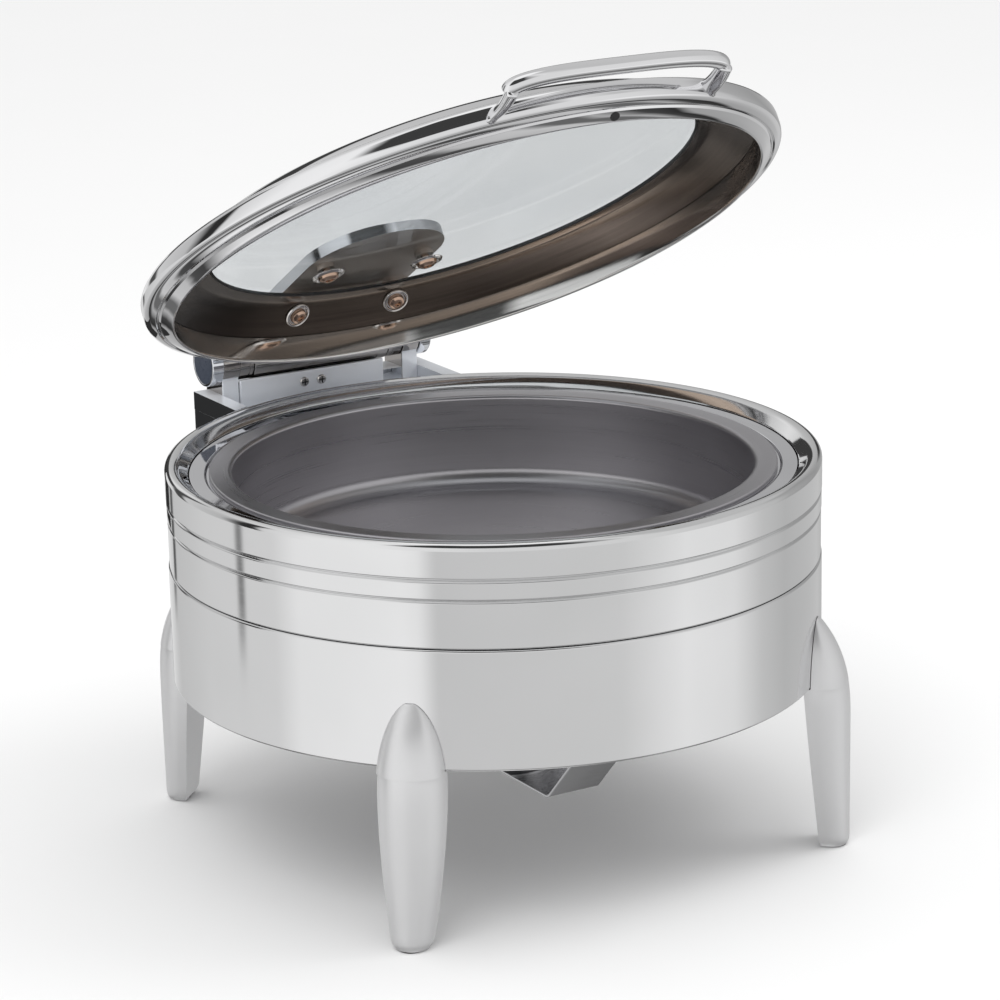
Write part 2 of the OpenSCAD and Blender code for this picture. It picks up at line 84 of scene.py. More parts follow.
def corner_arc(before, corner, after, radius):
    """Points of the arc that rounds a corner, each with its normal, or None where no arc fits."""
    u, v = (before - corner).normalized(), (after - corner).normalized()
    half = math.acos(max(-1, min(1, u.dot(v)))) / 2
    if radius <= 0 or half > STRAIGHTEST or half < SHARPEST:
        return None
    cut = radius / math.tan(half)
    room = min((before - corner).length, (after - corner).length) * SIDE_SHARE
    if cut > room:
        cut, radius = room, room * math.tan(half)
    centre = corner + (u + v).normalized() * (radius / math.sin(half))
    start, end = corner + u * cut - centre, corner + v * cut - centre
    turn = math.atan2(start.x * end.y - start.y * end.x, start.dot(end))
    arc = []
    for i in range(ARC_STEPS + 1):
        angle = turn * i / ARC_STEPS
        c, s = math.cos(angle), math.sin(angle)
        spoke = Vector((start.x * c - start.y * s, start.x * s + start.y * c))
        arc.append((centre + spoke, spoke.normalized()))
    return arc


def profile(points):
    """A closed outline of (r, z, fillet) points as segments of (point, normal, point, normal).

    A fillet of None marks a point on a smooth curve, whose normal is its neighbours' mean.
    The normals point out of the outline.
    """
    corners = [Vector(point[:2]) for point in points]
    count = len(corners)

    def side(i, j):
        along = (corners[j % count] - corners[i % count]).normalized()
        return Vector((-along.y, along.x))

    rounded = []  # (point, arriving side's normal, leaving side's normal)
    for i, (*_, fillet) in enumerate(points):
        before, after = side(i - 1, i), side(i, i + 1)
        if fillet is None:
            mean = (before + after).normalized()
            rounded.append((corners[i], mean, mean))
            continue
        arc = corner_arc(corners[i - 1], corners[i], corners[(i + 1) % count], fillet)
        if arc is None:
            rounded.append((corners[i], before, after))
        else:
            rounded += [(point, normal, normal) for point, normal in arc]
    turn = sum(a.x * b.y - a.y * b.x for a, b in zip(corners, corners[1:] + corners[:1]))
    outside = -1 if turn > 0 else 1  # which side of the path, left being 1, is outside

    def facing(normal, path):
        left = Vector((-path.y, path.x))
        return normal * (outside if normal.dot(left) >= 0 else -outside)

    segments = []
    for (start, _, leaving), (end, arriving, _) in zip(rounded, rounded[1:] + rounded[:1]):
        path = end - start
        if path.length > TINY:
            segments.append((start, facing(leaving, path), end, facing(arriving, path)))
    return segments


def new_piece(name, mesh, material, body, *nodes, slot=None):
    """A finished piece that rides on a body and stands for the CAD nodes it is given."""
    piece = bpy.data.objects.new(name, mesh)
    bpy.context.collection.objects.link(piece)
    mesh.materials.append(material)
    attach(piece, body)
    if nodes:
        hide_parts(*nodes)
    return piece


def store_local(mesh, points):
    """Keeps each vertex's place in the part's own coordinates, in metres, for the materials."""
    data = mesh.attributes.new("local", "FLOAT_VECTOR", "POINT")
    data.data.foreach_set("vector", [number * MM for point in points for number in point])


def smooth(mesh):
    mesh.polygons.foreach_set("use_smooth", [True] * len(mesh.polygons))


def lathe(segments, place, turns=256):
    """A mesh of the profile's segments spun about the vertical axis, with exact normals."""
    ends = []
    for start, _, end, _ in segments:
        for point in (start, end):
            if not ends or (ends[-1] - point).length > TINY:
                ends.append(point)
    ends.pop()  # the outline closes on its first point
    spokes = [(math.cos(math.tau * j / turns), math.sin(math.tau * j / turns)) for j in range(turns)]
    local, rings = [], []
    for point in ends:
        if abs(point.x) < ON_AXIS:
            rings.append([len(local)] * turns)
            local.append((0, 0, point.y))
            continue
        rings.append([len(local) + j for j in range(turns)])
        local += [(point.x * c, point.x * s, point.y) for c, s in spokes]
    faces, normals = [], []
    for k, (_, low_normal, _, high_normal) in enumerate(segments):
        low, high = rings[k], rings[(k + 1) % len(ends)]
        for j in range(turns):
            j2 = (j + 1) % turns
            corners = [(low[j], j, low_normal), (low[j2], j2, low_normal)]
            corners += [(high[j2], j2, high_normal), (high[j], j, high_normal)]
            face = []
            for corner in corners:
                if corner[0] not in [kept[0] for kept in face]:
                    face.append(corner)
            if len(face) < 3:
                continue
            faces.append([corner[0] for corner in face])
            for _, step, normal in face:
                c, s = spokes[step]
                normals.append(turned(place, (normal.x * c, normal.x * s, normal.y)))
    mesh = bpy.data.meshes.new("lathe")
    mesh.from_pydata([place(*point) for point in local], [], faces)
    store_local(mesh, local)
    if mesh.polygons[0].normal.dot(normals[0]) < 0:
        flip(mesh, normals)
    smooth(mesh)
    mesh.normals_split_custom_set(normals)
    mesh.update()
    return mesh


def flip(mesh, normals):
    """Turns every face over and reorders the corner normals to match."""
    counts = [len(face.vertices) for face in mesh.polygons]
    mesh.flip_normals()
    at = 0
    for count in counts:
        part = normals[at : at + count]
        normals[at : at + count] = [part[0]] + part[:0:-1]
        at += count


def sheet(path, thick):
    """A closed outline: the path, then its copy thick to the left, with matching fillets."""
    points = [Vector(point[:2]) for point in path]
    last = len(points) - 1
    back = []
    for i, (*_, fillet) in enumerate(path):
        arriving = (points[i] - points[i - 1]).normalized() if i else (points[1] - points[0]).normalized()
        leaving = (points[i + 1] - points[i]).normalized() if i < last else arriving
        left, next_left = Vector((-arriving.y, arriving.x)), Vector((-leaving.y, leaving.x))
        mitre = (left + next_left).normalized()
        mitre = mitre / max(LONGEST_MITRE, mitre.dot(left))
        turn = arriving.x * leaving.y - arriving.y * leaving.x
        if fillet is not None:
            fillet = max(LEAST_FILLET, fillet - thick if turn > 0 else fillet + thick)
        back.append((*(points[i] + mitre * thick), fillet))

    def eased(point, i):
        """Rounds the sheet's two cut edges, but not one that lies on the axis."""
        if i not in (0, last):
            return point
        return point[0], point[1], 0 if point[0] < 1 else min(EASED, thick * EASED)

    front = [eased(point, i) for i, point in enumerate(path)]
    return front + [eased(point, i) for i, point in enumerate(back)][::-1]


def loft(rings, place):
    """A closed mesh over rings of (x, y, z) points, smooth shaded."""
    sides = len(rings[0])
    local = [point for ring in rings for point in ring]
    faces = []
    for k in range(len(rings) - 1):
        for j in range(sides):
            j2 = (j + 1) % sides
            faces.append((k * sides + j, k * sides + j2, (k + 1) * sides + j2, (k + 1) * sides + j))
    faces.append(tuple(range(sides))[::-1])
    faces.append(tuple((len(rings) - 1) * sides + j for j in range(sides)))
    mesh = bpy.data.meshes.new("loft")
    mesh.from_pydata([place(*point) for point in local], [], faces)
    store_local(mesh, local)
    bm = bmesh.new()
    bm.from_mesh(mesh)
    bmesh.ops.recalc_face_normals(bm, faces=bm.faces)
    bm.to_mesh(mesh)
    bm.free()
    smooth(mesh)
    mesh.update()
    return mesh


def prism(outline, low, high, place, bevel=0.5, axis="x"):
    """A flat outline pulled from low to high along the x or z axis, with rounded edges."""

    def at(u, v, w):
        return (w, u, v) if axis == "x" else (u, v, w)

    bm = bmesh.new()
    layer = bm.verts.layers.float_vector.new("local")
    rows = []
    for w in (low, high):
        row = []
        for u, v in outline:
            point = at(u, v, w)
            vertex = bm.verts.new(place(*point))
            vertex[layer] = Vector(point) * MM
            row.append(vertex)
        rows.append(row)
    near, far = rows
    for i in range(len(outline)):
        j = (i + 1) % len(outline)
        bm.faces.new((near[i], near[j], far[j], far[i]))
    bm.faces.new(near[::-1])
    bm.faces.new(far)
    bmesh.ops.recalc_face_normals(bm, faces=bm.faces)
    if bevel:
        sharp = [edge for edge in bm.edges if edge.calc_face_angle(0) > SHARP_EDGE]
        bmesh.ops.bevel(
            bm, geom=sharp, offset=bevel * MM, segments=BEVEL_STEPS, profile=0.5, affect="EDGES",
            clamp_overlap=True,
        )
    mesh = bpy.data.meshes.new("prism")
    bm.to_mesh(mesh)
    bm.free()
    smooth(mesh)
    mesh.update()
    return mesh


def weigh(piece):
    """Keeps the flat faces of a bevelled piece flat in their shading."""
    weighted = piece.modifiers.new("weigh", "WEIGHTED_NORMAL")
    weighted.keep_sharp = True
    weighted.weight = 80
    return piece


def round_edges(piece, radius, segments, angle):
    """Rounds the piece's edges that are sharper than the angle in degrees."""
    bevel = piece.modifiers.new("edge", "BEVEL")
    bevel.width = radius * MM
    bevel.segments = segments
    bevel.limit_method = "ANGLE"
    bevel.angle_limit = math.radians(angle)


def joined(meshes, name):
    """Several meshes as one."""
    bm = bmesh.new()
    for mesh in meshes:
        bm.from_mesh(mesh)
    whole = bpy.data.meshes.new(name)
    bm.to_mesh(whole)
    bm.free()
    smooth(whole)
    whole.update()
    return whole


def circle_outline(centre, radius, start, end, count):
    """Points round part of a circle, from start to end in degrees."""
    angles = [math.radians(start + (end - start) * i / count) for i in range(count + 1)]
    return [(centre[0] + radius * math.cos(a), centre[1] + radius * math.sin(a)) for a in angles]


def roll(centre, radius, start, count):
    """The rolled edge of a sheet as smooth profile points, from start degrees up to its top."""
    return [(*point, None) for point in circle_outline(centre, radius, start, 90, count)]


# Materials ----

MIDDLE = (0.3, 0.7)  # most of a noise lies between these
MEAN_MIDDLE, HAIR_MIDDLE = (0.38, 0.62), (0.35, 0.65)  # and for the mean of two noises
WIPE_SCALE = (0.6, 900.0, 900.0)  # wipe marks run long round the part and are fine across
WIPE_DEPTH, WAVE_DEPTH, HAIR_DEPTH, GRAIN_DEPTH = 0.00002, 0.0015, 0.00003, 0.00008  # in metres
HAIR_SCALE, BAND_SCALE = (1.2, 1400.0, 1400.0), (0.9, 130.0, 130.0)  # brushed hairlines, broad bands
WAVES, GRAIN, CLOUDS = 14.0, 900.0, 40.0  # noise scales


def fill_ramp(ramp, stops):
    """Sets a grey ramp to (place, brightness) stops, places from 0 to 1."""
    marks = ramp.color_ramp.elements
    marks[0].position, marks[1].position = stops[0][0], stops[-1][0]
    for place, _ in stops[1:-1]:
        marks.new(place)
    for mark, (_, grey) in zip(marks, stops):
        mark.color = (grey, grey, grey, 1)
    return ramp.outputs["Color"]


def compass(stops):
    """Compass stops, in degrees from 0, as ramp stops closed on themselves."""
    return [(angle / 360, grey) for angle, grey in stops] + [(1.0, stops[0][1])]


class Nodes:
    """A short way to lay out a material's nodes."""

    def __init__(self, name):
        self.material = bpy.data.materials.new(name)
        self.material.use_nodes = True
        self.tree = self.material.node_tree
        self.tree.nodes.clear()
        self.out = self.tree.nodes.new("ShaderNodeOutputMaterial")

    def add(self, kind, links=None, **values):
        node = self.tree.nodes.new("ShaderNode" + kind)
        for key, value in values.items():
            if hasattr(node, key):
                setattr(node, key, value)
            else:
                node.inputs[key.replace("_", " ")].default_value = value
        for key, source in (links or {}).items():
            self.tree.links.new(source, node.inputs[key])
        return node

    def math(self, operation, value, number=None):
        node = self.add("Math", {0: value}, operation=operation)
        if number is not None:
            node.inputs[1].default_value = number
        return node.outputs[0]

    def mean(self, first, second):
        both = self.add("Math", {0: first, 1: second}, operation="ADD")
        return self.math("MULTIPLY", both.outputs[0], 0.5)

    def where(self, own):
        """The place in the part's own coordinates, or in the object's for carried-over CAD nodes."""
        if own:
            return self.add("Attribute", attribute_name="local").outputs["Vector"]
        return self.add("TexCoord").outputs["Object"]

    def polar(self, vector):
        """(angle in radians, radius, height) of a point about the part's own vertical axis."""
        xyz = self.add("SeparateXYZ", {"Vector": vector})
        angle = self.add("Math", {0: xyz.outputs["Y"], 1: xyz.outputs["X"]}, operation="ARCTAN2")
        flat = self.add("CombineXYZ", {"X": xyz.outputs["X"], "Y": xyz.outputs["Y"]})
        radius = self.add("VectorMath", {0: flat.outputs[0]}, operation="LENGTH")
        return self.add(
            "CombineXYZ", {"X": angle.outputs[0], "Y": radius.outputs["Value"], "Z": xyz.outputs["Z"]}
        ).outputs[0]

    def noise(self, vector, scale, detail=2.0, rough=0.5):
        node = self.add("TexNoise", {"Vector": vector}, Scale=scale, Detail=detail, Roughness=rough)
        return node.outputs["Fac"]

    def streaks(self, polar, scale, detail, rough):
        """Noise stretched by a scale for (angle, radius, height)."""
        stretched = self.add("Mapping", {"Vector": polar}, Scale=scale).outputs["Vector"]
        return self.noise(stretched, 1.0, detail, rough)

    def spread(self, value, low, high, across=MIDDLE):
        limits = {"From_Min": across[0], "From_Max": across[1], "To_Min": low, "To_Max": high}
        return self.add("MapRange", {"Value": value}, **limits).outputs["Result"]

    def tint(self, value, dark, light):
        ramp = self.add("ValToRGB", {"Fac": value})
        for mark, position, colour in zip(ramp.color_ramp.elements, MIDDLE, (dark, light)):
            mark.position = position
            mark.color = (*colour, 1)
        return ramp.outputs["Color"]

    def bump(self, value, strength, distance):
        return self.add("Bump", {"Height": value}, Strength=strength, Distance=distance).outputs["Normal"]

    def finish(self, shader):
        self.tree.links.new(shader, self.out.inputs["Surface"])
        return self.material


def polished(name, dark, light, low, high, own=True, streak=0.0, scale=9.0, wave=0.0, metal=1.0):
    """Polished metal: cloudy colour, roughness from low to high, faint wipe marks and slow waviness."""
    nodes = Nodes(name)
    where = nodes.where(own)
    cloud = nodes.noise(where, scale, 3.0)
    wipes = nodes.streaks(nodes.polar(where), WIPE_SCALE, 4.0, 0.7)
    links = {
        "Base Color": nodes.tint(cloud, dark, light),
        "Roughness": nodes.spread(nodes.mean(cloud, wipes), low, high, MEAN_MIDDLE),
    }
    if streak or wave:
        slow = nodes.noise(where, WAVES, 1.0)
        fine = nodes.bump(wipes, streak, WIPE_DEPTH)
        rolling = nodes.add("Bump", {"Height": slow, "Normal": fine}, Strength=wave, Distance=WAVE_DEPTH)
        links["Normal"] = rolling.outputs["Normal"]
    shader = nodes.add("BsdfPrincipled", links, Metallic=metal)
    return nodes.finish(shader.outputs["BSDF"])


def brushed(name, dark, light, low, high, aniso, depth=0.35, painted_reflection=None):
    """Metal brushed round the part's axis; compass stops, if given, darken it with painted reflection and
    shade.
    """
    nodes = Nodes(name)
    polar = nodes.polar(nodes.where(True))
    hairs = nodes.streaks(polar, HAIR_SCALE, 5.0, 0.75)
    mixed = nodes.mean(hairs, nodes.streaks(polar, BAND_SCALE, 3.0, 0.6))
    colour = nodes.tint(mixed, dark, light)
    if painted_reflection:
        # the compass stops paint reflection and shade into the colour round the part
        angle = nodes.add("SeparateXYZ", {"Vector": polar}).outputs["X"]
        turn = nodes.math("FRACT", nodes.math("ADD", nodes.math("DIVIDE", angle, math.tau), 1.0))
        shade = fill_ramp(nodes.add("ValToRGB", {"Fac": turn}), compass(painted_reflection))
        tinted = nodes.add("MixRGB", {"Color1": colour, "Color2": shade}, blend_type="MULTIPLY", Fac=1.0)
        colour = tinted.outputs[0]
    links = {
        "Base Color": colour,
        "Roughness": nodes.spread(mixed, low, high, HAIR_MIDDLE),
        "Normal": nodes.bump(hairs, depth, HAIR_DEPTH),
    }
    shader = nodes.add("BsdfPrincipled", links, Metallic=1.0, Anisotropic=aniso)
    return nodes.finish(shader.outputs["BSDF"])


def moulded(name, dark, light, rough, own=True):
    """Rubber or plastic with a fine grain."""
    nodes = Nodes(name)
    where = nodes.where(own)
    grain = nodes.noise(where, GRAIN, 3.0)
    links = {
        "Base Color": nodes.tint(nodes.noise(where, CLOUDS), dark, light),
        "Roughness": nodes.spread(grain, rough - 0.08, rough + 0.08),
        "Normal": nodes.bump(grain, 0.25, GRAIN_DEPTH),
    }
    return nodes.finish(nodes.add("BsdfPrincipled", links).outputs["BSDF"])


def clear_glass(name):
    """Clear toughened glass: a faint green-grey tint, reflections at a slant, slight smudges."""
    nodes = Nodes(name)
    smudge = nodes.noise(nodes.where(True), 7.0, 3.0)
    tint = nodes.tint(smudge, (0.825, 0.84, 0.85), (0.86, 0.872, 0.878))
    through = nodes.add("BsdfTransparent", {"Color": tint})
    rough = nodes.spread(smudge, 0.01, 0.05)
    gloss = nodes.add("BsdfGlossy", {"Roughness": rough}, Color=(0.95, 0.98, 0.98, 1))
    slant = nodes.add("LayerWeight", Blend=0.5).outputs["Facing"]
    share = nodes.spread(nodes.math("POWER", slant, 6.0), 0.035, 0.45, (0.0, 1.0))
    mix = nodes.add("MixShader", {0: share, 1: through.outputs[0], 2: gloss.outputs[0]})
    return nodes.finish(mix.outputs[0])


DRUM_STEEL = polished(
    "drum_steel", (0.745, 0.748, 0.75), (0.79, 0.79, 0.795), 0.035, 0.08, streak=0.1, wave=0.02
)
RIM_STEEL = polished("rim_steel", (0.82, 0.82, 0.83), (0.87, 0.87, 0.88), 0.012, 0.035, streak=0.06)
RIM_INSIDE = brushed("rim_inside", (0.66, 0.64, 0.62), (0.98, 0.96, 0.94), 0.04, 0.09, 0.5)
LEDGE_STEEL = polished("ledge_steel", (0.62, 0.62, 0.64), (0.7, 0.7, 0.72), 0.02, 0.06, streak=0.08)
BENT_STEEL = polished("bent_steel", (0.5, 0.5, 0.51), (0.62, 0.62, 0.63), 0.06, 0.12)
HANDLE_STEEL = polished("handle_steel", (0.83, 0.83, 0.84), (0.88, 0.88, 0.89), 0.015, 0.045)
CHROME = polished("chrome_plate", (0.78, 0.8, 0.84), (0.85, 0.87, 0.9), 0.012, 0.04)
# Chrome darkened to brown with streaks: a painted reflection on the hinge barrel, its sleeves and the ears.
BARREL_REFLECTION_CHROME = polished("barrel_chrome_painted_reflection", (0.36, 0.34, 0.33), (0.44, 0.42, 0.4), 0.02, 0.05, streak=0.3)
PLATE_CHROME = polished("plate_chrome", (0.84, 0.87, 0.92), (0.9, 0.92, 0.96), 0.16, 0.24, metal=0.3)
LEG_METAL = polished("leg_metal", (0.64, 0.64, 0.645), (0.7, 0.7, 0.705), 0.3, 0.38, metal=0.6)
PAN_STEEL = brushed("pan_steel", (0.46, 0.45, 0.47), (0.53, 0.52, 0.54), 0.26, 0.34, 0.3, depth=0.12)
# Painted reflection and shade on the lid's inner wall: compass stops that darken its colour round the lid.
WALL_PAINTED_REFLECTION = (
    (0, 0.22), (15, 0.45), (30, 1.0), (45, 0.7), (60, 0.38), (75, 0.28), (105, 0.24), (118, 0.11),
    (140, 0.07), (180, 0.16), (270, 0.4), (330, 0.18),
)
SHELL_STEEL = brushed(
    "shell_steel", (0.4, 0.315, 0.255), (0.82, 0.67, 0.55), 0.15, 0.26, 0.55, depth=0.5, painted_reflection=WALL_PAINTED_REFLECTION
)
# Brownish grey for the arm's downward faces: a painted reflection of the food below them.
ARM_UNDERSIDE_REFLECTION = polished("arm_underside_painted_reflection", (0.6, 0.51, 0.45), (0.7, 0.6, 0.53), 0.32, 0.42, metal=0.7)
PAD_METAL = polished("pad_metal", (0.5, 0.43, 0.38), (0.58, 0.5, 0.44), 0.32, 0.42, own=False, metal=0.6)
CUP_STEEL = brushed("cup_steel", (0.55, 0.55, 0.56), (0.68, 0.68, 0.69), 0.22, 0.32, 0.4)
SCREW_STEEL = polished(
    "screw_steel", (0.6, 0.6, 0.62), (0.74, 0.74, 0.76), 0.1, 0.22, own=False, scale=60.0
)
# Copper tone on the bolt heads: a painted reflection of the food.
BOLT_HEAD_REFLECTION = polished("bolt_head_painted_reflection", (0.36, 0.25, 0.18), (0.62, 0.44, 0.34), 0.06, 0.12, scale=60.0)
WASHER_STEEL = polished("washer_steel", (0.76, 0.74, 0.72), (0.88, 0.86, 0.84), 0.04, 0.1, scale=60.0)
PLATE_SCREW = polished("bolt_steel", (0.58, 0.56, 0.54), (0.74, 0.71, 0.69), 0.1, 0.2, scale=60.0)
PLASTIC_DARK, PLASTIC_LIGHT = (0.035, 0.045, 0.065), (0.055, 0.065, 0.09)
DARK_PLASTIC = moulded("dark_plastic", PLASTIC_DARK, PLASTIC_LIGHT, 0.32)
PLAIN_PLASTIC = moulded("plain_plastic", PLASTIC_DARK, PLASTIC_LIGHT, 0.32, own=False)
RUBBER_DARK, RUBBER_LIGHT = (0.012, 0.012, 0.013), (0.024, 0.024, 0.025)
RUBBER = moulded("black_rubber", RUBBER_DARK, RUBBER_LIGHT, 0.55)
PLAIN_RUBBER = moulded("plain_rubber", RUBBER_DARK, RUBBER_LIGHT, 0.55, own=False)
GLASS = clear_glass("clear_glass")


# Body and stand ----

DRUM_R, CLEAR_R = 220, 220.25  # the drum, and what is fastened against it
SKIRT_LOW, SKIRT_TOP, BODY_LOW = 115.6, 195, 195.35
BODY_SHEET, WATER_SHEET, FOOD_SHEET = 1.2, 1.0, 0.9
AXIS = 0.05  # where the turned outlines meet their axis

SKIRT = [
    (DRUM_R - 8, SKIRT_LOW, 0.4), (DRUM_R, SKIRT_LOW, 1.6),
    (DRUM_R, SKIRT_TOP, 1.5), (DRUM_R - 14, SKIRT_TOP, 0.4),
]
BODY = [
    (208, BODY_LOW, 0.3), (219.4, BODY_LOW, 1.2),
    (219.4, 225.3, 0.8), (218.3, 226.2, 0.2), (218.5, 226.8, 0.2), (219.7, 228.0, 0.8),  # the lower groove
    (219.7, 238.4, 0.8), (218.4, 239.5, 0.2), (218.6, 240.1, 0.2), (DRUM_R, 241.5, 0.9),  # the upper groove
    (DRUM_R, 258.7, None), (DRUM_R, 259.5, None), *roll((215.5, 259.5), 4.5, 15, 5),
    (213.6, 263.8, None), (212.2, 263.3, None), (211, 262.6, None), (209.8, 261.6, None),
    (205, 257, 1.2), (204.2, 256.1, 0.3),
]
WATER_PAN = [
    (218.3, 253.8, 0.3), (204, 253.8, 0.4), (203.6, 255.8, 0.3), (193.4, 255.8, 1.1), (192.2, 254, 0.6),
    (184.5, 254, 2), (182.5, 252, 2), (179.8, 160, 12), (AXIS, 160, 0),
]
FOOD_PAN = [
    (190.5, 254.1, 0.2), (190.5, 257.6, 1.1), (175, 257.4, 3.2), (172, 193.6, 12), (AXIS, 193.6, 0),
]


def sheet_piece(name, path, thick, material, body, node, slot, place=drum, turns=256):
    """A piece turned from sheet metal."""
    mesh = lathe(profile(sheet(path, thick)), place, turns)
    return new_piece(name, mesh, material, body, node, slot=slot)


sheet_piece("skirt", SKIRT, BODY_SHEET, DRUM_STEEL, "stand", "stand_skirt", "polished_steel")
sheet_piece("drum_shell", BODY, BODY_SHEET, DRUM_STEEL, "stand", "body_shell", "polished_steel")
sheet_piece("water_pan_sheet", WATER_PAN, WATER_SHEET, LEDGE_STEEL, "stand", "water_pan", "polished_steel")
sheet_piece("food_pan_sheet", FOOD_PAN, FOOD_SHEET, PAN_STEEL, "food_pan", "food_pan", "satin_steel")


# Legs, swept up the outside of the stand ----

LEG_BOTTOM, LEG_TOP, LEG_WIDE, STEP_Z = 1.0, 160.0, 105.0, 115.3
LEG_OUT, LEG_HALF, LEG_SIDE = 242.5, 22.0, 5.5
TOE_HALF, TOE_Z, TOE_ROUND = 13, 6, 9  # the leg's end, and how it is rounded below TOE_Z
LEAN_Z = 87  # above this the front leans in to the drum
BACK_FOOT, BACK_LEAN, BACK_HIGH = 224.5, 10, 115  # the back leans in by BACK_LEAN over BACK_HIGH
FRONT_STEPS = 22
LEG_LEVELS = [LEG_BOTTOM, 1.3, 1.8, 2.6, 3.8, TOE_Z]
LEG_LEVELS += [10 + 3.3 * i for i in range(31)] + [112, STEP_Z, STEP_Z + 0.1]
LEG_LEVELS += [118 + 2.6 * i for i in range(15)] + [156.2, 157.6, 158.7, 159.4]


def leg_half(z):
    """Half the leg's width at a height."""
    if z <= LEG_WIDE:
        return TOE_HALF + (LEG_HALF - TOE_HALF) * math.sin(math.pi / 2 * z / LEG_WIDE)
    return LEG_HALF * max(0, 1 - ((z - LEG_WIDE) / (LEG_TOP + 0.2 - LEG_WIDE)) ** 2) ** 0.55


def leg_ring(z):
    """The leg's section at a height, x pointing out from the drum: the crowned front, then the back."""
    toe = math.sqrt(1 - ((TOE_Z - z) / TOE_ROUND) ** 2) if z < TOE_Z else 1
    half = leg_half(z) * toe
    out = LEG_OUT
    if z > LEAN_Z:
        out -= (LEG_OUT - CLEAR_R - 0.2) * ((z - LEAN_Z) / (LEG_TOP - LEAN_Z)) ** 2.8
    below = z <= STEP_Z
    back = BACK_FOOT - BACK_LEAN * z / BACK_HIGH if below else CLEAR_R
    middle = (out + back) / 2
    side = LEG_SIDE * (1 if below else (LEG_TOP - z) / (LEG_TOP - STEP_Z))
    edge = (back if below else math.sqrt(back * back - half * half)) + side
    ring = []
    for i in range(FRONT_STEPS + 1):
        across = -math.cos(math.pi * i / FRONT_STEPS)
        ring.append((edge + (out - edge) * (max(0, 1 - abs(across) ** 2.2)) ** 0.55, across * half))
    for i in range(FRONT_STEPS + 1):
        across = math.cos(math.pi * i / FRONT_STEPS)
        ring.append((back if below else math.sqrt(back * back - (across * half) ** 2), across * half))
    return [(middle + (x - middle) * toe, y, z) for x, y in ring]


def leg(name, angle):
    c, s = math.cos(math.radians(angle)), math.sin(math.radians(angle))
    rings = [[(x * c - y * s, x * s + y * c, z) for x, y, z in leg_ring(z)] for z in LEG_LEVELS]
    piece = new_piece(name + "_cast", loft(rings, drum), LEG_METAL, "stand", name, slot="satin_cast")
    round_edges(piece, 0.5, 2, 40)
    weigh(piece)


for leg_name, leg_angle in (
    ("leg_front_left", -135), ("leg_front_right", -45), ("leg_rear_right", 45), ("leg_rear_left", 135)
):
    leg(leg_name, leg_angle)


# Burner hanger and fuel cup ----

STRAP_SHEET, STRAP_HALF, STRAP_LOW = 1.5, 19.5, 49
STRAP_BEND, STRAP_BEND_R = (92, 56), 7
STRAP_END = [(214.6, 174.2), (216.2, 175.6), (217.4, 178), (217.4, 191)]
CUP = [(47, 90.5, 0.3), (44.8, 90.2, 0.5), (44, 88.9, 0.8), (44, 51.5, 2.5), (AXIS, 51.5, 0)]
CUP_SHEET = 1.0


def strap_outline():
    """The strap seen from the side: flat below the cup, bent up to the skirt's front and back."""
    half = [(0, STRAP_LOW)] + circle_outline(STRAP_BEND, STRAP_BEND_R, -90, -44, 6) + STRAP_END
    path = [(-y, z, None) for y, z in half[:0:-1]] + [(y, z, None) for y, z in half]
    return [point[:2] for point in sheet(path, STRAP_SHEET)]


weigh(new_piece(
    "hanger_strap", prism(strap_outline(), -STRAP_HALF, STRAP_HALF, drum, bevel=0.35), BENT_STEEL,
    "stand", "burner_hanger", slot="polished_steel",
))
sheet_piece("fuel_cup_sheet", CUP, CUP_SHEET, CUP_STEEL, "stand", "fuel_cup", "satin_steel", turns=128)


# Hinge on the back of the body ----

BLOCK_HALF, EAR_OUT, EAR_IN = 92, 80, 67  # across, from the middle
BLOCK_LOW, BLOCK_STEP, BLOCK_TOP, BLOCK_BACK = 232, 250, 263, 266
NOTCH_EDGE, NOTCH_FRONT = 243.5, 243.6
ARC_PITCH = 4
EAR_R, POST_FRONT, EAR_LOW = 15.5, 11.0, 249.8
PLATE_LEFT, PLATE_RIGHT, PLATE_FRONT, PLATE_LOW, PLATE_TOP = -66.7, 50, 240.6, 251, 272.5


def front_arc(start, end):
    """Points of the block's front, which follows the drum."""
    return [(x, math.sqrt(CLEAR_R**2 - x * x)) for x in range(start, end + 1, ARC_PITCH)]


def rectangle(left, right, low, high):
    return [(left, low), (right, low), (right, high), (left, high)]


def face_middle(mesh, face):
    """The middle of a face in the part's own coordinates."""
    where = mesh.attributes["local"].data
    return sum((where[v].vector for v in face.vertices), Vector()) / len(face.vertices) / MM


block_rear = [(BLOCK_HALF, BLOCK_BACK), (-BLOCK_HALF, BLOCK_BACK)]
lower = front_arc(-BLOCK_HALF, BLOCK_HALF) + block_rear
upper = front_arc(-BLOCK_HALF, -EAR_OUT)
upper += [(-EAR_OUT, NOTCH_EDGE), (-EAR_IN, NOTCH_EDGE), (-EAR_IN, NOTCH_FRONT)]
upper += [(EAR_IN, NOTCH_FRONT), (EAR_IN, NOTCH_EDGE), (EAR_OUT, NOTCH_EDGE)]
upper += front_arc(EAR_OUT, BLOCK_HALF) + block_rear
neck = 180 + math.degrees(math.acos(POST_FRONT / EAR_R))
ear = [(HINGE_Y - POST_FRONT, EAR_LOW), (HINGE_Y + EAR_R, EAR_LOW)]
ear += circle_outline((HINGE_Y, HINGE_Z), EAR_R, 0, neck, 48)
riser = rectangle(PLATE_LEFT - 0.1, PLATE_RIGHT, NOTCH_FRONT + 0.1, 264)
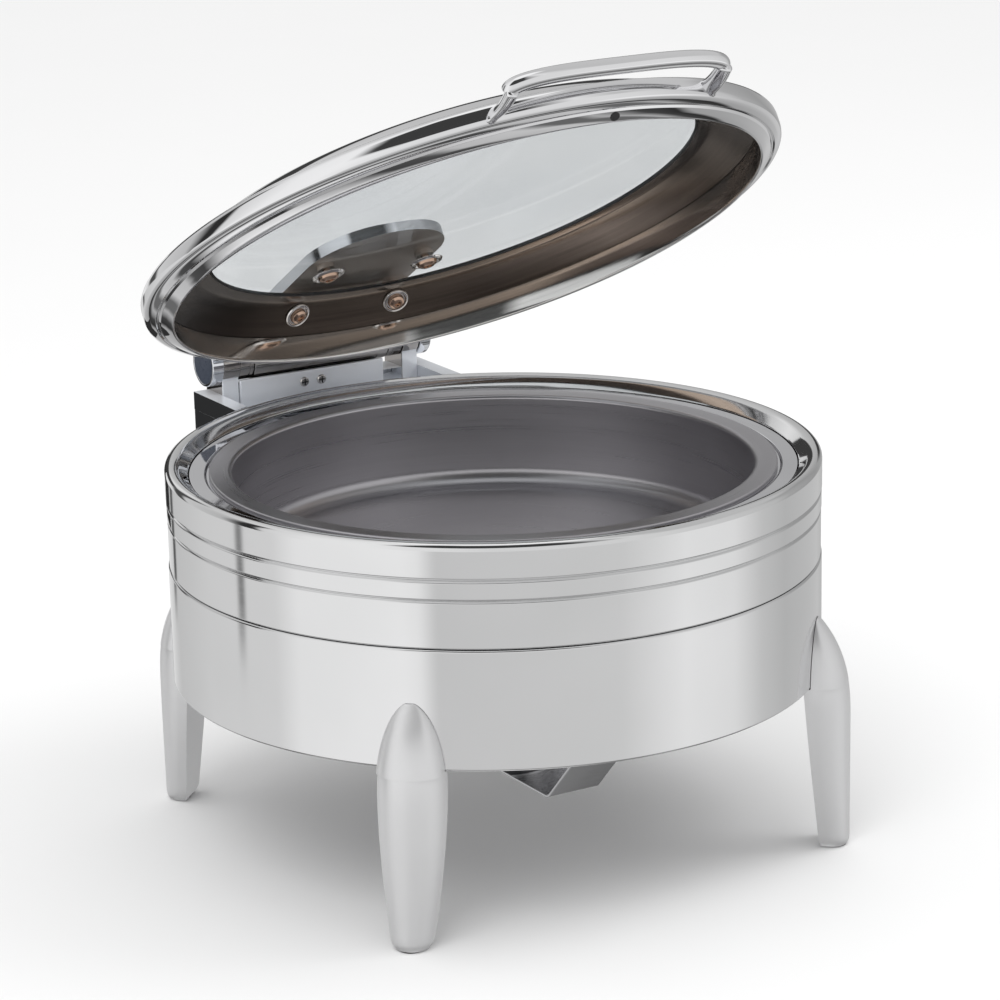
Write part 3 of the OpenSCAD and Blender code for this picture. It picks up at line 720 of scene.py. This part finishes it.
base = joined([
    prism(lower, BLOCK_LOW, BLOCK_STEP + 0.2, drum, axis="z", bevel=0.6),
    prism(upper, BLOCK_STEP - 0.1, BLOCK_TOP, drum, axis="z", bevel=0.6),
    prism(riser, BLOCK_TOP - 1, 269, drum, axis="z", bevel=0.6),
    prism(ear, EAR_IN, EAR_OUT, drum, bevel=0.7),
    prism(ear, -EAR_OUT, -EAR_IN, drum, bevel=0.7),
], "base")
hinge_block = weigh(new_piece("hinge_block", base, CHROME, "stand", "hinge_base", slot="hinge_chrome"))


def block_finish(x, y, z):
    """0 for the block's chrome, 1 for the bright notch between the ears, 2 for the ears, darkened with
    painted reflection.
    """
    if abs(x) >= EAR_OUT + 0.5:
        return 0
    if z > HINGE_Z - 10 or abs(abs(x) - EAR_IN) < 0.2:
        return 2
    return 1 if y < NOTCH_FRONT and z > BLOCK_STEP else 0


hinge_block.data.materials.append(PLATE_CHROME)
hinge_block.data.materials.append(BARREL_REFLECTION_CHROME)
for face in hinge_block.data.polygons:
    face.material_index = block_finish(*face_middle(hinge_block.data, face))
plate = rectangle(PLATE_LEFT, PLATE_RIGHT, PLATE_FRONT, NOTCH_FRONT)
weigh(new_piece(
    "hinge_plate", prism(plate, PLATE_LOW, PLATE_TOP, drum, axis="z", bevel=0.5), PLATE_CHROME,
    "stand", "hinge_front_plate", slot="hinge_chrome",
))

SCREW_Y, SCREW_Z, SCREW_XS = 240.5, 264.5, (-15.5, -1.5)
SCREW_HEAD = [(AXIS, 0.1, 0), (3.6, 0.1, 0), (3.6, 0.9, 0.3), (3.1, 1.6, 0.5), (AXIS, 1.84, 0)]
CROSS_LONG, CROSS_WIDE, CROSS_LOW, CROSS_TOP = 2.5, 0.55, 1.5, 1.87


def on_plate(x):
    """Coordinates of a screw in the front plate, its axis pointing forward."""
    return lambda u, v, w: drum(x + u, SCREW_Y - w, SCREW_Z + v)


def cross(x):
    """The two bars of a screw's cross: dark bars of painted shade that stand in for its cross recess."""
    return [
        prism(rectangle(-wide, wide, -tall, tall), CROSS_LOW, CROSS_TOP, on_plate(x), axis="z", bevel=0)
        for wide, tall in ((CROSS_LONG, CROSS_WIDE), (CROSS_WIDE, CROSS_LONG))
    ]


heads = joined([lathe(profile(SCREW_HEAD), on_plate(x), 48) for x in SCREW_XS], "heads")
recess_shades = joined([bar for x in SCREW_XS for bar in cross(x)], "recess_shades")
new_piece("plate_screw_heads", heads, PLATE_SCREW, "stand", "plate_screws", slot="screw_steel")
# Black bars on the screw heads: painted shade standing in for the shaded cross recesses.
new_piece("plate_screw_recess_shade", recess_shades, RUBBER, "stand", slot="black_rubber")


def along_hinge(side):
    """Coordinates whose vertical axis is the hinge axis, pointing to one side."""
    return lambda x, y, z: drum(side * z, HINGE_Y + x, HINGE_Z + side * y)


def spun(name, points, side, material, body, *nodes, slot="hinge_chrome"):
    """A piece turned about the hinge axis."""
    new_piece(name, lathe(profile(points), along_hinge(side), 96), material, body, *nodes, slot=slot)


SHAFT_BORE, CAP_R, CAP_IN, CAP_OUT, CAP_FLOOR = 6.05, 16.3, 80.4, 89.5, 88.1
CAP = [
    (SHAFT_BORE, CAP_IN, 0), (CAP_R, CAP_IN, 0.8), (CAP_R, CAP_OUT, 1.2), (14.4, CAP_OUT, 0.4),
    (14.3, CAP_FLOOR, 0.1), (AXIS, CAP_FLOOR, 0), (AXIS, 87.4, 0), (SHAFT_BORE, 87.4, 0),
]
CAP_FACE = [(AXIS, 88.2, 0), (14.2, 88.2, 0), (14.2, 89.25, 0.4), (AXIS, 89.3, 0)]
SLEEVE_IN, SLEEVE_OUT, SLEEVE_R, GROOVE_R = 55.5, 66.6, 14.6, 14.1
SLEEVE = [
    (SHAFT_BORE, SLEEVE_IN, 0), (SLEEVE_R, SLEEVE_IN, 0.7), (SLEEVE_R, 58.2, 0.3), (GROOVE_R, 58.5, 0.2),
    (GROOVE_R, 59.1, 0.2), (SLEEVE_R, 59.4, 0.3), (SLEEVE_R, SLEEVE_OUT, 0.7), (SHAFT_BORE, SLEEVE_OUT, 0),
]

for side, word in ((-1, "left"), (1, "right")):
    spun("cap_" + word, CAP, side, CHROME, "stand", "end_cap_" + word)
    insert = "cap_insert_" + word
    spun("cap_face_" + word, CAP_FACE, side, DARK_PLASTIC, "stand", insert, slot="dark_plastic")
    spun("sleeve_" + word, SLEEVE, side, BARREL_REFLECTION_CHROME, "stand", "bearing_sleeve_" + word)


# Lid ----

SEAT_END, CREASE_R, CREASE_D, SEAT_D = 181.0, 206.0, 10.0, 26.3
LID_SHEET = 1.2


def wall_d(r):
    """The shell's height at a radius: level under the glass, then falling to the crease."""
    if r <= SEAT_END:
        return SEAT_D
    return SEAT_D - (SEAT_D - CREASE_D) * ((r - SEAT_END) / (CREASE_R - SEAT_END)) ** 1.3


SHELL = [(170.6, SEAT_D, 0.4)] + [(r, wall_d(r), None) for r in (173, 176, 179, *range(181, 206))]
SHELL += [(CREASE_R, CREASE_D, 1.0), (215.7, CREASE_D, 0.3)]
RIM = [
    (206.6, 9.9, 0.3), (204.9, 0.6, None), (203.4, -7.6, None), (203.0, -9.3, None), (203.3, -10.3, None),
    (204.1, -10.6, None), (205.1, -10.2, None), (208.4, -8.2, None), (211.2, -6.3, 0.6), (212.3, -4.8, 0.5),
    (213.3, -4.5, 0.4), (214.4, -5.1, 0.6), (217, -3.8, None), (218.6, -2.7, None), (219.8, -1.4, None),
    (220.6, -0.1, None), (221, 1.6, None), (221, 4.5, None), (221, 7.4, None), *roll((217, 7.4), 4, 18, 4),
    (215.9, 11.4, 0.2),
]
GASKET = [
    (168.8, 25.95, 0.3), (170.5, 25.95, 0.3), (170.5, 27.57, 0.1), (174, 27.57, 0.2), (174, 28.75, 0.6),
    (170.05, 28.75, 0.2), (170.05, 26.58, 0.05), (168.8, 26.58, 0.1),
]
PANE_LOW, PANE_TOP, PANE_R = 26.66, 30.64, 169.9
PANE = [(AXIS, PANE_LOW, 0), (PANE_R, PANE_LOW, 0.5), (PANE_R, PANE_TOP, 0.6), (AXIS, PANE_TOP, 0)]


def refinish(piece, material, chosen):
    """Gives the faces of a lid piece that chosen(y, radius, inward, upward) picks another finish."""
    mesh = piece.data
    mesh.materials.append(material)
    up, across, along = turned(lid, (0, 0, 1)), turned(lid, (1, 0, 0)), turned(lid, (0, 1, 0))
    for face in mesh.polygons:
        middle = face_middle(mesh, face)
        radius = math.hypot(middle.x, middle.y)
        outward = face.normal.dot(across) * middle.x + face.normal.dot(along) * middle.y
        if chosen(middle.y, radius, -outward / max(radius, 0.01), face.normal.dot(up)):
            face.material_index = 1


wall = sheet_piece("lid_wall", SHELL, LID_SHEET, SHELL_STEEL, "lid", "lid_shell", "brushed_shell", lid)
refinish(wall, RIM_STEEL, lambda y, radius, inward, upward: upward > 0.1)
ring = sheet_piece("lid_ring", RIM, LID_SHEET, RIM_STEEL, "lid", "lid_rim", "polished_steel", lid, 320)
refinish(ring, RIM_INSIDE, lambda y, radius, inward, upward: inward > 0.6 and radius < 207.2)
new_piece("glass_seal", lathe(profile(GASKET), lid), RUBBER, "lid", "glass_gasket", slot="black_rubber")
new_piece("glass_pane", lathe(profile(PANE), lid), GLASS, "lid", "glass_panel", slot="clear_glass")


# Arm, from over the glass into the barrel ----

ARM_LOW = [
    (76, 34.4), (183, 34.4), (186, 30.2), (196, 24.7), (207, 15.2), (224, 15.1), (243, 8.5), (250, 12),
]
ARM_HIGH = [
    (76, 40.9), (82, 41.9), (100, 42.4), (180, 42.9), (205, 42.1), (232, 37.9), (243, 34.4), (250, 29.5),
]
ARM_HALF, ROUND_Y = 52.0, 130.0  # its round end is centred on ROUND_Y
ARM_STEPS = 12
WIDEN_Y, WIDEN_SLOPE, ARM_REAR_HALF = 226, 0.9, 54.7
BARREL_HALF, BARREL_R, BARREL_BORE = 54.8, 15, 7
ARM_STATIONS = [ROUND_Y - 0.998 * ARM_HALF * math.cos(math.radians(a)) for a in range(0, 90, 5)]
ARM_STATIONS += [ROUND_Y, 142, 155, 170, 178, 183, 184.5, 186, 191, 196, 201, 207]
ARM_STATIONS += [212, 218, 224, 229, 233, 238, 243, 247, 250]
BARREL = [
    (BARREL_BORE, -BARREL_HALF, 0.3), (BARREL_R, -BARREL_HALF, 0.8), (BARREL_R, BARREL_HALF, 0.8),
    (BARREL_BORE, BARREL_HALF, 0.3),
]


def level(table, y):
    """A height between two (y, height) points of a table."""
    for (near, low), (far, high) in zip(table, table[1:]):
        if y <= far:
            return low + (high - low) * (y - near) / (far - near)
    return table[-1][1]


def arm_half(y):
    if y > WIDEN_Y:
        return min(ARM_REAR_HALF, ARM_HALF + (y - WIDEN_Y) * WIDEN_SLOPE)
    return ARM_HALF * math.sqrt(max(0.0004, 1 - (max(0, ROUND_Y - y) / ARM_HALF) ** 2))


def arm_ring(y):
    """The arm's section at y: along its underside, then back along its top."""
    half = arm_half(y)
    below = [(-half + 2 * half * k / ARM_STEPS, y, level(ARM_LOW, y)) for k in range(ARM_STEPS + 1)]
    return below + [(half - 2 * half * k / ARM_STEPS, y, level(ARM_HIGH, y)) for k in range(ARM_STEPS + 1)]


arm_mesh = loft([arm_ring(y) for y in ARM_STATIONS], lid)
arm = new_piece("arm_plate", arm_mesh, CHROME, "lid", "lid_arm", slot="hinge_chrome")
round_edges(arm, 1.8, 4, 38)
# The arm's downward faces take the painted reflection.
refinish(arm, ARM_UNDERSIDE_REFLECTION, lambda y, radius, inward, upward: upward < -0.5 and y < 200)
weigh(arm)
spun("arm_barrel", BARREL, 1, BARREL_REFLECTION_CHROME, "lid")


# Bolts through the glass and the shell ----

GLASS_BOLT, GLASS_BOLT_D, GLASS_BOLT_SIZE = (39.2, 128.0), 26.62, 1.3
WALL_BOLT, WALL_BOLT_SIZE, WALL_BOLT_TILT = (39.7, 187.6), 1.05, math.radians(33)
WALL_BOLT_D = wall_d(math.hypot(*WALL_BOLT)) - 0.8
WASHER_BORE, SHANK_R, SHANK_TOP, SOCKET_D = 3.3, 2.9, 12, -2.6


def bolt_place(x, y, d, tilt, spin):
    """Coordinates of a bolt in the lid, its axis tilted by tilt towards the azimuth spin."""
    turn = Matrix.Rotation(spin, 3, "Z") @ Matrix.Rotation(-tilt, 3, "X")

    def place(u, v, w):
        point = turn @ Vector((u, v, w))
        return lid(x + point.x, y + point.y, d + point.z)

    return place


def bolts(name, places, size):
    """Domed, socketed heads on cupped washers; the shanks behind them stay hidden in the arm."""
    washer = [
        (WASHER_BORE, 0, 0.1), (4.2 * size, -0.6, 0.2), (6.6 * size, -0.5, 0.2), (7.3 * size, -1.6, 0.4),
        (8.6 * size, -1.3, 0.5), (9.4 * size, 0, 0.3),
    ]
    head = [
        (SHANK_R, SHANK_TOP, 0), (AXIS, SHANK_TOP, 0), (AXIS, SOCKET_D, 0), (2.1 * size, SOCKET_D, 0.1),
        (2.3 * size, -4.3, 0.3), (3.5 * size, -4.2, 0.6), (5.2 * size, -3.0, 0.9), (5.9 * size, -0.7, 0.3),
        (SHANK_R, -0.5, 0),
    ]
    heads = joined([lathe(profile(head[::-1]), place, 64) for place in places], name)
    washers = joined([lathe(profile(washer[::-1]), place, 64) for place in places], name)
    new_piece(name + "_heads", heads, BOLT_HEAD_REFLECTION, "lid", name + "s", slot="screw_steel")
    new_piece(name + "_washers", washers, WASHER_STEEL, "lid", name + "_washers", slot="screw_steel")


def bolt_pair(name, where, d, size, tilt, spin):
    x, y = where
    bolts(name, [bolt_place(side * x, y, d, tilt, -side * spin) for side in (-1, 1)], size)


bolt_pair("glass_bolt", GLASS_BOLT, GLASS_BOLT_D, GLASS_BOLT_SIZE, 0, 0)
WALL_AZIMUTH = math.atan(WALL_BOLT[0] / WALL_BOLT[1])
bolt_pair("wall_bolt", WALL_BOLT, WALL_BOLT_D, WALL_BOLT_SIZE, WALL_BOLT_TILT, WALL_AZIMUTH)


# Handle ----

BAR_HALF, BAR_R, BAR_SIDES, BAR_STEPS = 77.0, 5.4, 28, 120
BAR_END, BAR_RISE = (-230.0, 8.5), (-9.0, 4.0)  # (y, d) where the bar ends, and from there to its middle
POST_FOOT, POST_TOP, POST_SAG = (78, -205.3, 3.4), (BAR_HALF, -232.5, 6.4), -1.6
POST_STEPS, POST_SIDES, FLARE = 24, 32, 0.22


def bar_point(angle):
    """A point of the bar, which runs straight in the middle and bends down to its ends."""
    across = math.sin(angle)
    bow = math.sqrt(max(0, 1 - abs(across) ** 3.4))
    return Vector((BAR_HALF * across, BAR_END[0] + BAR_RISE[0] * bow, BAR_END[1] + BAR_RISE[1] * bow))


def tube(points, size, lean, sides):
    """Rings round points; size(i) gives the half-widths along lean and across it."""
    spokes = [(math.cos(math.tau * k / sides), math.sin(math.tau * k / sides)) for k in range(sides)]
    rings = []
    for i, point in enumerate(points):
        along = (points[min(i + 1, len(points) - 1)] - points[max(i - 1, 0)]).normalized()
        first = (lean - along * lean.dot(along)).normalized()
        second = along.cross(first)
        wide, tall = size(i)
        rings.append([tuple(point + first * (wide * c) + second * (tall * s)) for c, s in spokes])
    return rings


bar_points = [bar_point(math.radians(-90 + 180 * i / BAR_STEPS)) for i in range(BAR_STEPS + 1)]
bar = tube(bar_points, lambda i: (BAR_R, BAR_R), Vector((0, *BAR_RISE)).normalized(), BAR_SIDES)
new_piece("handle_rod", loft(bar, lid), HANDLE_STEEL, "lid", "handle_bar", slot="polished_steel")


def post(name, side):
    """A flat post, flared where it meets the rim."""
    foot, top = Vector(POST_FOOT), Vector(POST_TOP)
    foot.x *= side
    top.x *= side
    points = []
    for i in range(POST_STEPS + 1):
        share = i / POST_STEPS
        points.append(foot.lerp(top, share) + Vector((0, 0, POST_SAG * math.sin(math.pi * share))))

    def size(i):
        share = i / POST_STEPS
        flare = 1 + FLARE * max(0, 1 - share * 5) ** 2
        return (3.2 + 1.2 * share) * flare, (6.0 - 0.8 * share) * flare

    rings = tube(points, size, Vector((side, 0, 1)).normalized(), POST_SIDES)
    end = points[-1] + (points[-1] - points[-2]).normalized() * 1.2
    rings.append([tuple(end + (Vector(point) - points[-1]) * 0.75) for point in rings[-1]])
    new_piece(name + "_cast", loft(rings, lid), HANDLE_STEEL, "lid", name, slot="polished_steel")


post("handle_post_left", -1)
post("handle_post_right", 1)


# Carried-over CAD nodes ----

KEPT = {
    SCREW_STEEL: ("leg_screws", "hanger_rivets", "cup_rivets", "base_bolts", "hinge_shaft", "arm_spacers"),
    PLAIN_PLASTIC: ("friction_bush_left", "friction_bush_right"),
    PLAIN_RUBBER: ("foot_pads", "lid_bumper"),
    PAD_METAL: ("arm_pads",),
}
for material, names in KEPT.items():
    for name in names:
        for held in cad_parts[name].material_slots:
            held.link = "OBJECT"
            held.material = material


# Stage, light and camera ----

FLOOR_HALF, FLOOR_WHITE = 30, (0.86, 0.86, 0.86)


def paper(name, colour):
    nodes = Nodes(name)
    speck = nodes.noise(nodes.where(False), 3.0)
    tint = nodes.tint(speck, tuple(c * 0.995 for c in colour), colour)
    return nodes.finish(nodes.add("BsdfDiffuse", {"Color": tint}).outputs[0])


def stage_sheet(name, corners, material):
    mesh = bpy.data.meshes.new(name)
    mesh.from_pydata([Vector(corner) for corner in corners], [], [tuple(range(len(corners)))])
    mesh.materials.append(material)
    thing = bpy.data.objects.new(name, mesh)
    bpy.context.collection.objects.link(thing)
    return thing


floor_corners = [(x, y, 0) for x, y in rectangle(-FLOOR_HALF, FLOOR_HALF, -FLOOR_HALF, FLOOR_HALF)]
floor = stage_sheet("floor", floor_corners, paper("floor_paper", FLOOR_WHITE))
floor.visible_glossy = False  # reflections see the studio below instead


def card(name, centre, yaw, width, bottom, height, shade):
    """A studio card, in metres, that only reflections see."""
    nodes = Nodes(name + "_paper")
    glow = nodes.finish(nodes.add("Emission", Color=(shade, shade, shade, 1), Strength=1.0).outputs[0])
    along = Vector((math.cos(math.radians(yaw)), math.sin(math.radians(yaw)))) * width / 2
    (left_x, left_y), (right_x, right_y) = Vector(centre) - along, Vector(centre) + along
    top = bottom + height
    corners = [(left_x, left_y, bottom), (right_x, right_y, bottom)]
    corners += [(right_x, right_y, top), (left_x, left_y, top)]
    thing = stage_sheet(name, corners, glow)
    thing.visible_camera = thing.visible_diffuse = thing.visible_shadow = thing.visible_transmission = False


card("card_by_hinge", centre=(-0.143, 0.32), yaw=26, width=0.07, bottom=0.15, height=0.12, shade=0.03)

# What reflections see, as (compass angle in degrees, brightness) around the horizon, band by band.
SEEN_LOW = (
    (0, 0.56), (35, 0.6), (46, 0.5), (72, 0.78), (90, 0.6), (120, 0.73), (157, 0.77), (167, 0.94),
    (207, 1.0), (213, 0.95), (219, 0.67), (283, 0.73), (308, 0.94), (330, 0.88), (345, 0.65),
)
SEEN_LEVEL = (
    (0, 0.45), (24, 0.36), (50, 0.48), (74, 0.6), (87, 0.9), (96, 0.7), (99, 0.08), (106, 0.08),
    (109, 0.68), (134, 0.55), (144, 0.03), (151, 0.03), (154, 0.75), (176, 0.96), (195, 0.98), (240, 0.8),
    (300, 0.8), (350, 0.6),
)
SEEN_HIGH = (
    (0, 0.6), (60, 0.6), (120, 0.7), (180, 0.95), (196, 0.96), (206, 0.05), (270, 0.05), (292, 0.85),
    (310, 0.58),
)
# The same downwards, as (sine of the elevation, brightness).
SEEN_BELOW = (
    (-1.0, 0.9), (-0.985, 0.95), (-0.955, 0.5), (-0.93, 0.06), (-0.9, 0.08), (-0.88, 0.55),
    (-0.83, 0.62), (-0.805, 0.15), (-0.77, 0.15), (-0.75, 0.45), (-0.71, 0.06), (-0.67, 0.03),
    (-0.645, 0.38), (-0.55, 0.45), (-0.4, 0.55),
)
# Dark flats, as (middle, reach and edge in turns, lowest and highest sine of the elevation, brightness).
FAR_FLAT = (0.19, 0.085, 0.03, 0.015, 0.225, 0.05)
NEAR_FLAT = (0.64, 0.07, 0.03, 0.49, 0.62, 0.05)
LEFT_STRIP = (0.39, 0.005, 0.008, -0.31, 0.0, 0.25)
REAR_STRIP = (0.239, 0.006, 0.008, -0.298, 0.0, 0.1)
FLAT_FADE = 0.01
# Where one band turns into the next, as sines of the elevation.
BELOW_TO_LOW, LOW_TO_LEVEL = (-0.48, -0.37), (-0.25, -0.24)
LEVEL_TO_HIGH, HIGH_TO_TOP = (0.42, 0.56), (0.93, 0.97)
TOP_WHITE, EVEN_WHITE = 1.05, 1.02
WAVER_SCALE, WAVER_REACH = 3.0, 0.05  # how the upper bands' edges waver


class Sky:
    """Nodes for the world's shading."""

    def __init__(self):
        world = bpy.data.worlds.new("studio")
        bpy.context.scene.world = world
        world.use_nodes = True
        self.tree = world.node_tree
        self.tree.nodes.clear()

    def add(self, kind, *sources, **values):
        node = self.tree.nodes.new("ShaderNode" + kind)
        for key, value in values.items():
            setattr(node, key, value)
        for socket, source in zip(node.inputs, sources):
            if isinstance(source, (int, float, tuple)):
                socket.default_value = source
            elif source is not None:
                self.tree.links.new(source, socket)
        return node

    def math(self, operation, *sources):
        return self.add("Math", *sources, operation=operation).outputs[0]

    def ramp(self, value, stops):
        return fill_ramp(self.add("ValToRGB", value), stops)

    def round(self, turn, stops):
        return self.ramp(turn, compass(stops))

    def step(self, value, low, high):
        """A smooth step from 0 at low to 1 at high."""
        return self.add("MapRange", value, low, high, 0.0, 1.0, interpolation_type="SMOOTHSTEP").outputs[0]

    def flat(self, colour, turn, z, shape):
        """colour with a dark flat in front of it."""
        middle, reach, edge, lowest, highest, grey = shape
        across = self.math("ABSOLUTE", self.math("SUBTRACT", turn, middle))
        within = self.step(across, reach + edge / 2, reach - edge / 2)
        above = self.step(z, lowest - FLAT_FADE, lowest + FLAT_FADE)
        below = self.step(z, highest + FLAT_FADE, highest - FLAT_FADE)
        share = self.math("MULTIPLY", within, self.math("MULTIPLY", above, below))
        return self.add("MixRGB", share, colour, (grey, grey, grey, 1)).outputs[0]

    def blend(self, value, edges, below, above):
        """One colour below the first edge, another above the second, and a smooth change between."""
        return self.add("MixRGB", self.step(value, *edges), below, above).outputs[0]


def studio():
    """Reflections see a studio of soft boxes and dark flats. All else sees an even pale light."""
    sky = Sky()
    way = sky.add("TexCoord").outputs["Generated"]
    waver = sky.add("TexNoise", way)
    waver.inputs["Scale"].default_value = WAVER_SCALE
    x, y, z = sky.add("SeparateXYZ", way).outputs
    turn = sky.math("FRACT", sky.math("ADD", sky.math("DIVIDE", sky.math("ARCTAN2", y, x), math.tau), 1.0))
    shift = sky.math("MULTIPLY", sky.math("SUBTRACT", waver.outputs["Fac"], 0.5), WAVER_REACH)
    height = sky.math("ADD", z, shift)
    level = sky.blend(height, LEVEL_TO_HIGH, sky.round(turn, SEEN_LEVEL), sky.round(turn, SEEN_HIGH))
    level = sky.flat(sky.flat(level, turn, z, FAR_FLAT), turn, z, NEAR_FLAT)
    low = sky.flat(sky.round(turn, SEEN_LOW), turn, z, LEFT_STRIP)
    low = sky.flat(low, turn, z, REAR_STRIP)
    lower = sky.blend(z, LOW_TO_LEVEL, low, level)
    below = sky.ramp(sky.math("ADD", height, 1.0), [(place + 1, grey) for place, grey in SEEN_BELOW])
    whole = sky.blend(z, BELOW_TO_LOW, below, lower)
    whole = sky.blend(z, HIGH_TO_TOP, whole, (TOP_WHITE, TOP_WHITE, TOP_WHITE, 1))
    seen = sky.add("Background", whole, 1.0)
    even = sky.add("Background", (1, 1, 1, 1), EVEN_WHITE)
    path = sky.add("LightPath")
    mix = sky.add("MixShader", path.outputs["Is Glossy Ray"], even.outputs[0], seen.outputs[0])
    sky.add("OutputWorld", mix.outputs[0])


studio()


LIT_POINT = Vector((0, 0, 0.2))


def soft_box(name, place, size, power):
    """A square light, in metres and watts, that reflections don't see."""
    light = bpy.data.lights.new(name, "AREA")
    light.shape = "RECTANGLE"
    light.size = light.size_y = size
    light.energy = power
    thing = bpy.data.objects.new(name, light)
    bpy.context.collection.objects.link(thing)
    thing.location = place
    thing.rotation_euler = (LIT_POINT - Vector(place)).to_track_quat("-Z", "Y").to_euler()
    thing.visible_glossy = False


soft_box("key", place=(-1.6, -1.2, 2.6), size=1.6, power=22)
soft_box("fill", place=(1.8, -0.6, 2.2), size=1.4, power=14)

AZIMUTH, ELEVATION, ROLL = math.radians(-30.5), math.radians(16.6), math.radians(-1.226)
AIM_Z, AWAY = 200, 2.434262  # the height it turns about, and its distance from there in metres
SENSOR, LENS_RATIO = 36, 3.603486
camera_data = bpy.data.cameras.new("camera")
camera = bpy.data.objects.new("camera", camera_data)
bpy.context.collection.objects.link(camera)
bpy.context.scene.camera = camera
back = Vector((
    math.sin(AZIMUTH) * math.cos(ELEVATION), -math.cos(AZIMUTH) * math.cos(ELEVATION), math.sin(ELEVATION)
))
level_right = Vector((math.cos(AZIMUTH), math.sin(AZIMUTH), 0))
level_up = back.cross(level_right)
right = level_right * math.cos(ROLL) + level_up * math.sin(ROLL)
up = level_up * math.cos(ROLL) - level_right * math.sin(ROLL)
camera.matrix_world = Matrix.Translation(drum(0, 0, AIM_Z) + back * AWAY) @ Matrix(
    ((right.x, up.x, back.x), (right.y, up.y, back.y), (right.z, up.z, back.z))
).to_4x4()
camera_data.sensor_width = SENSOR
camera_data.lens = SENSOR * LENS_RATIO
camera_data.shift_x, camera_data.shift_y = 0.0051, 0.0416
camera_data.clip_start, camera_data.clip_end = 0.1, 100

bpy.context.scene.view_settings.view_transform = "Standard"
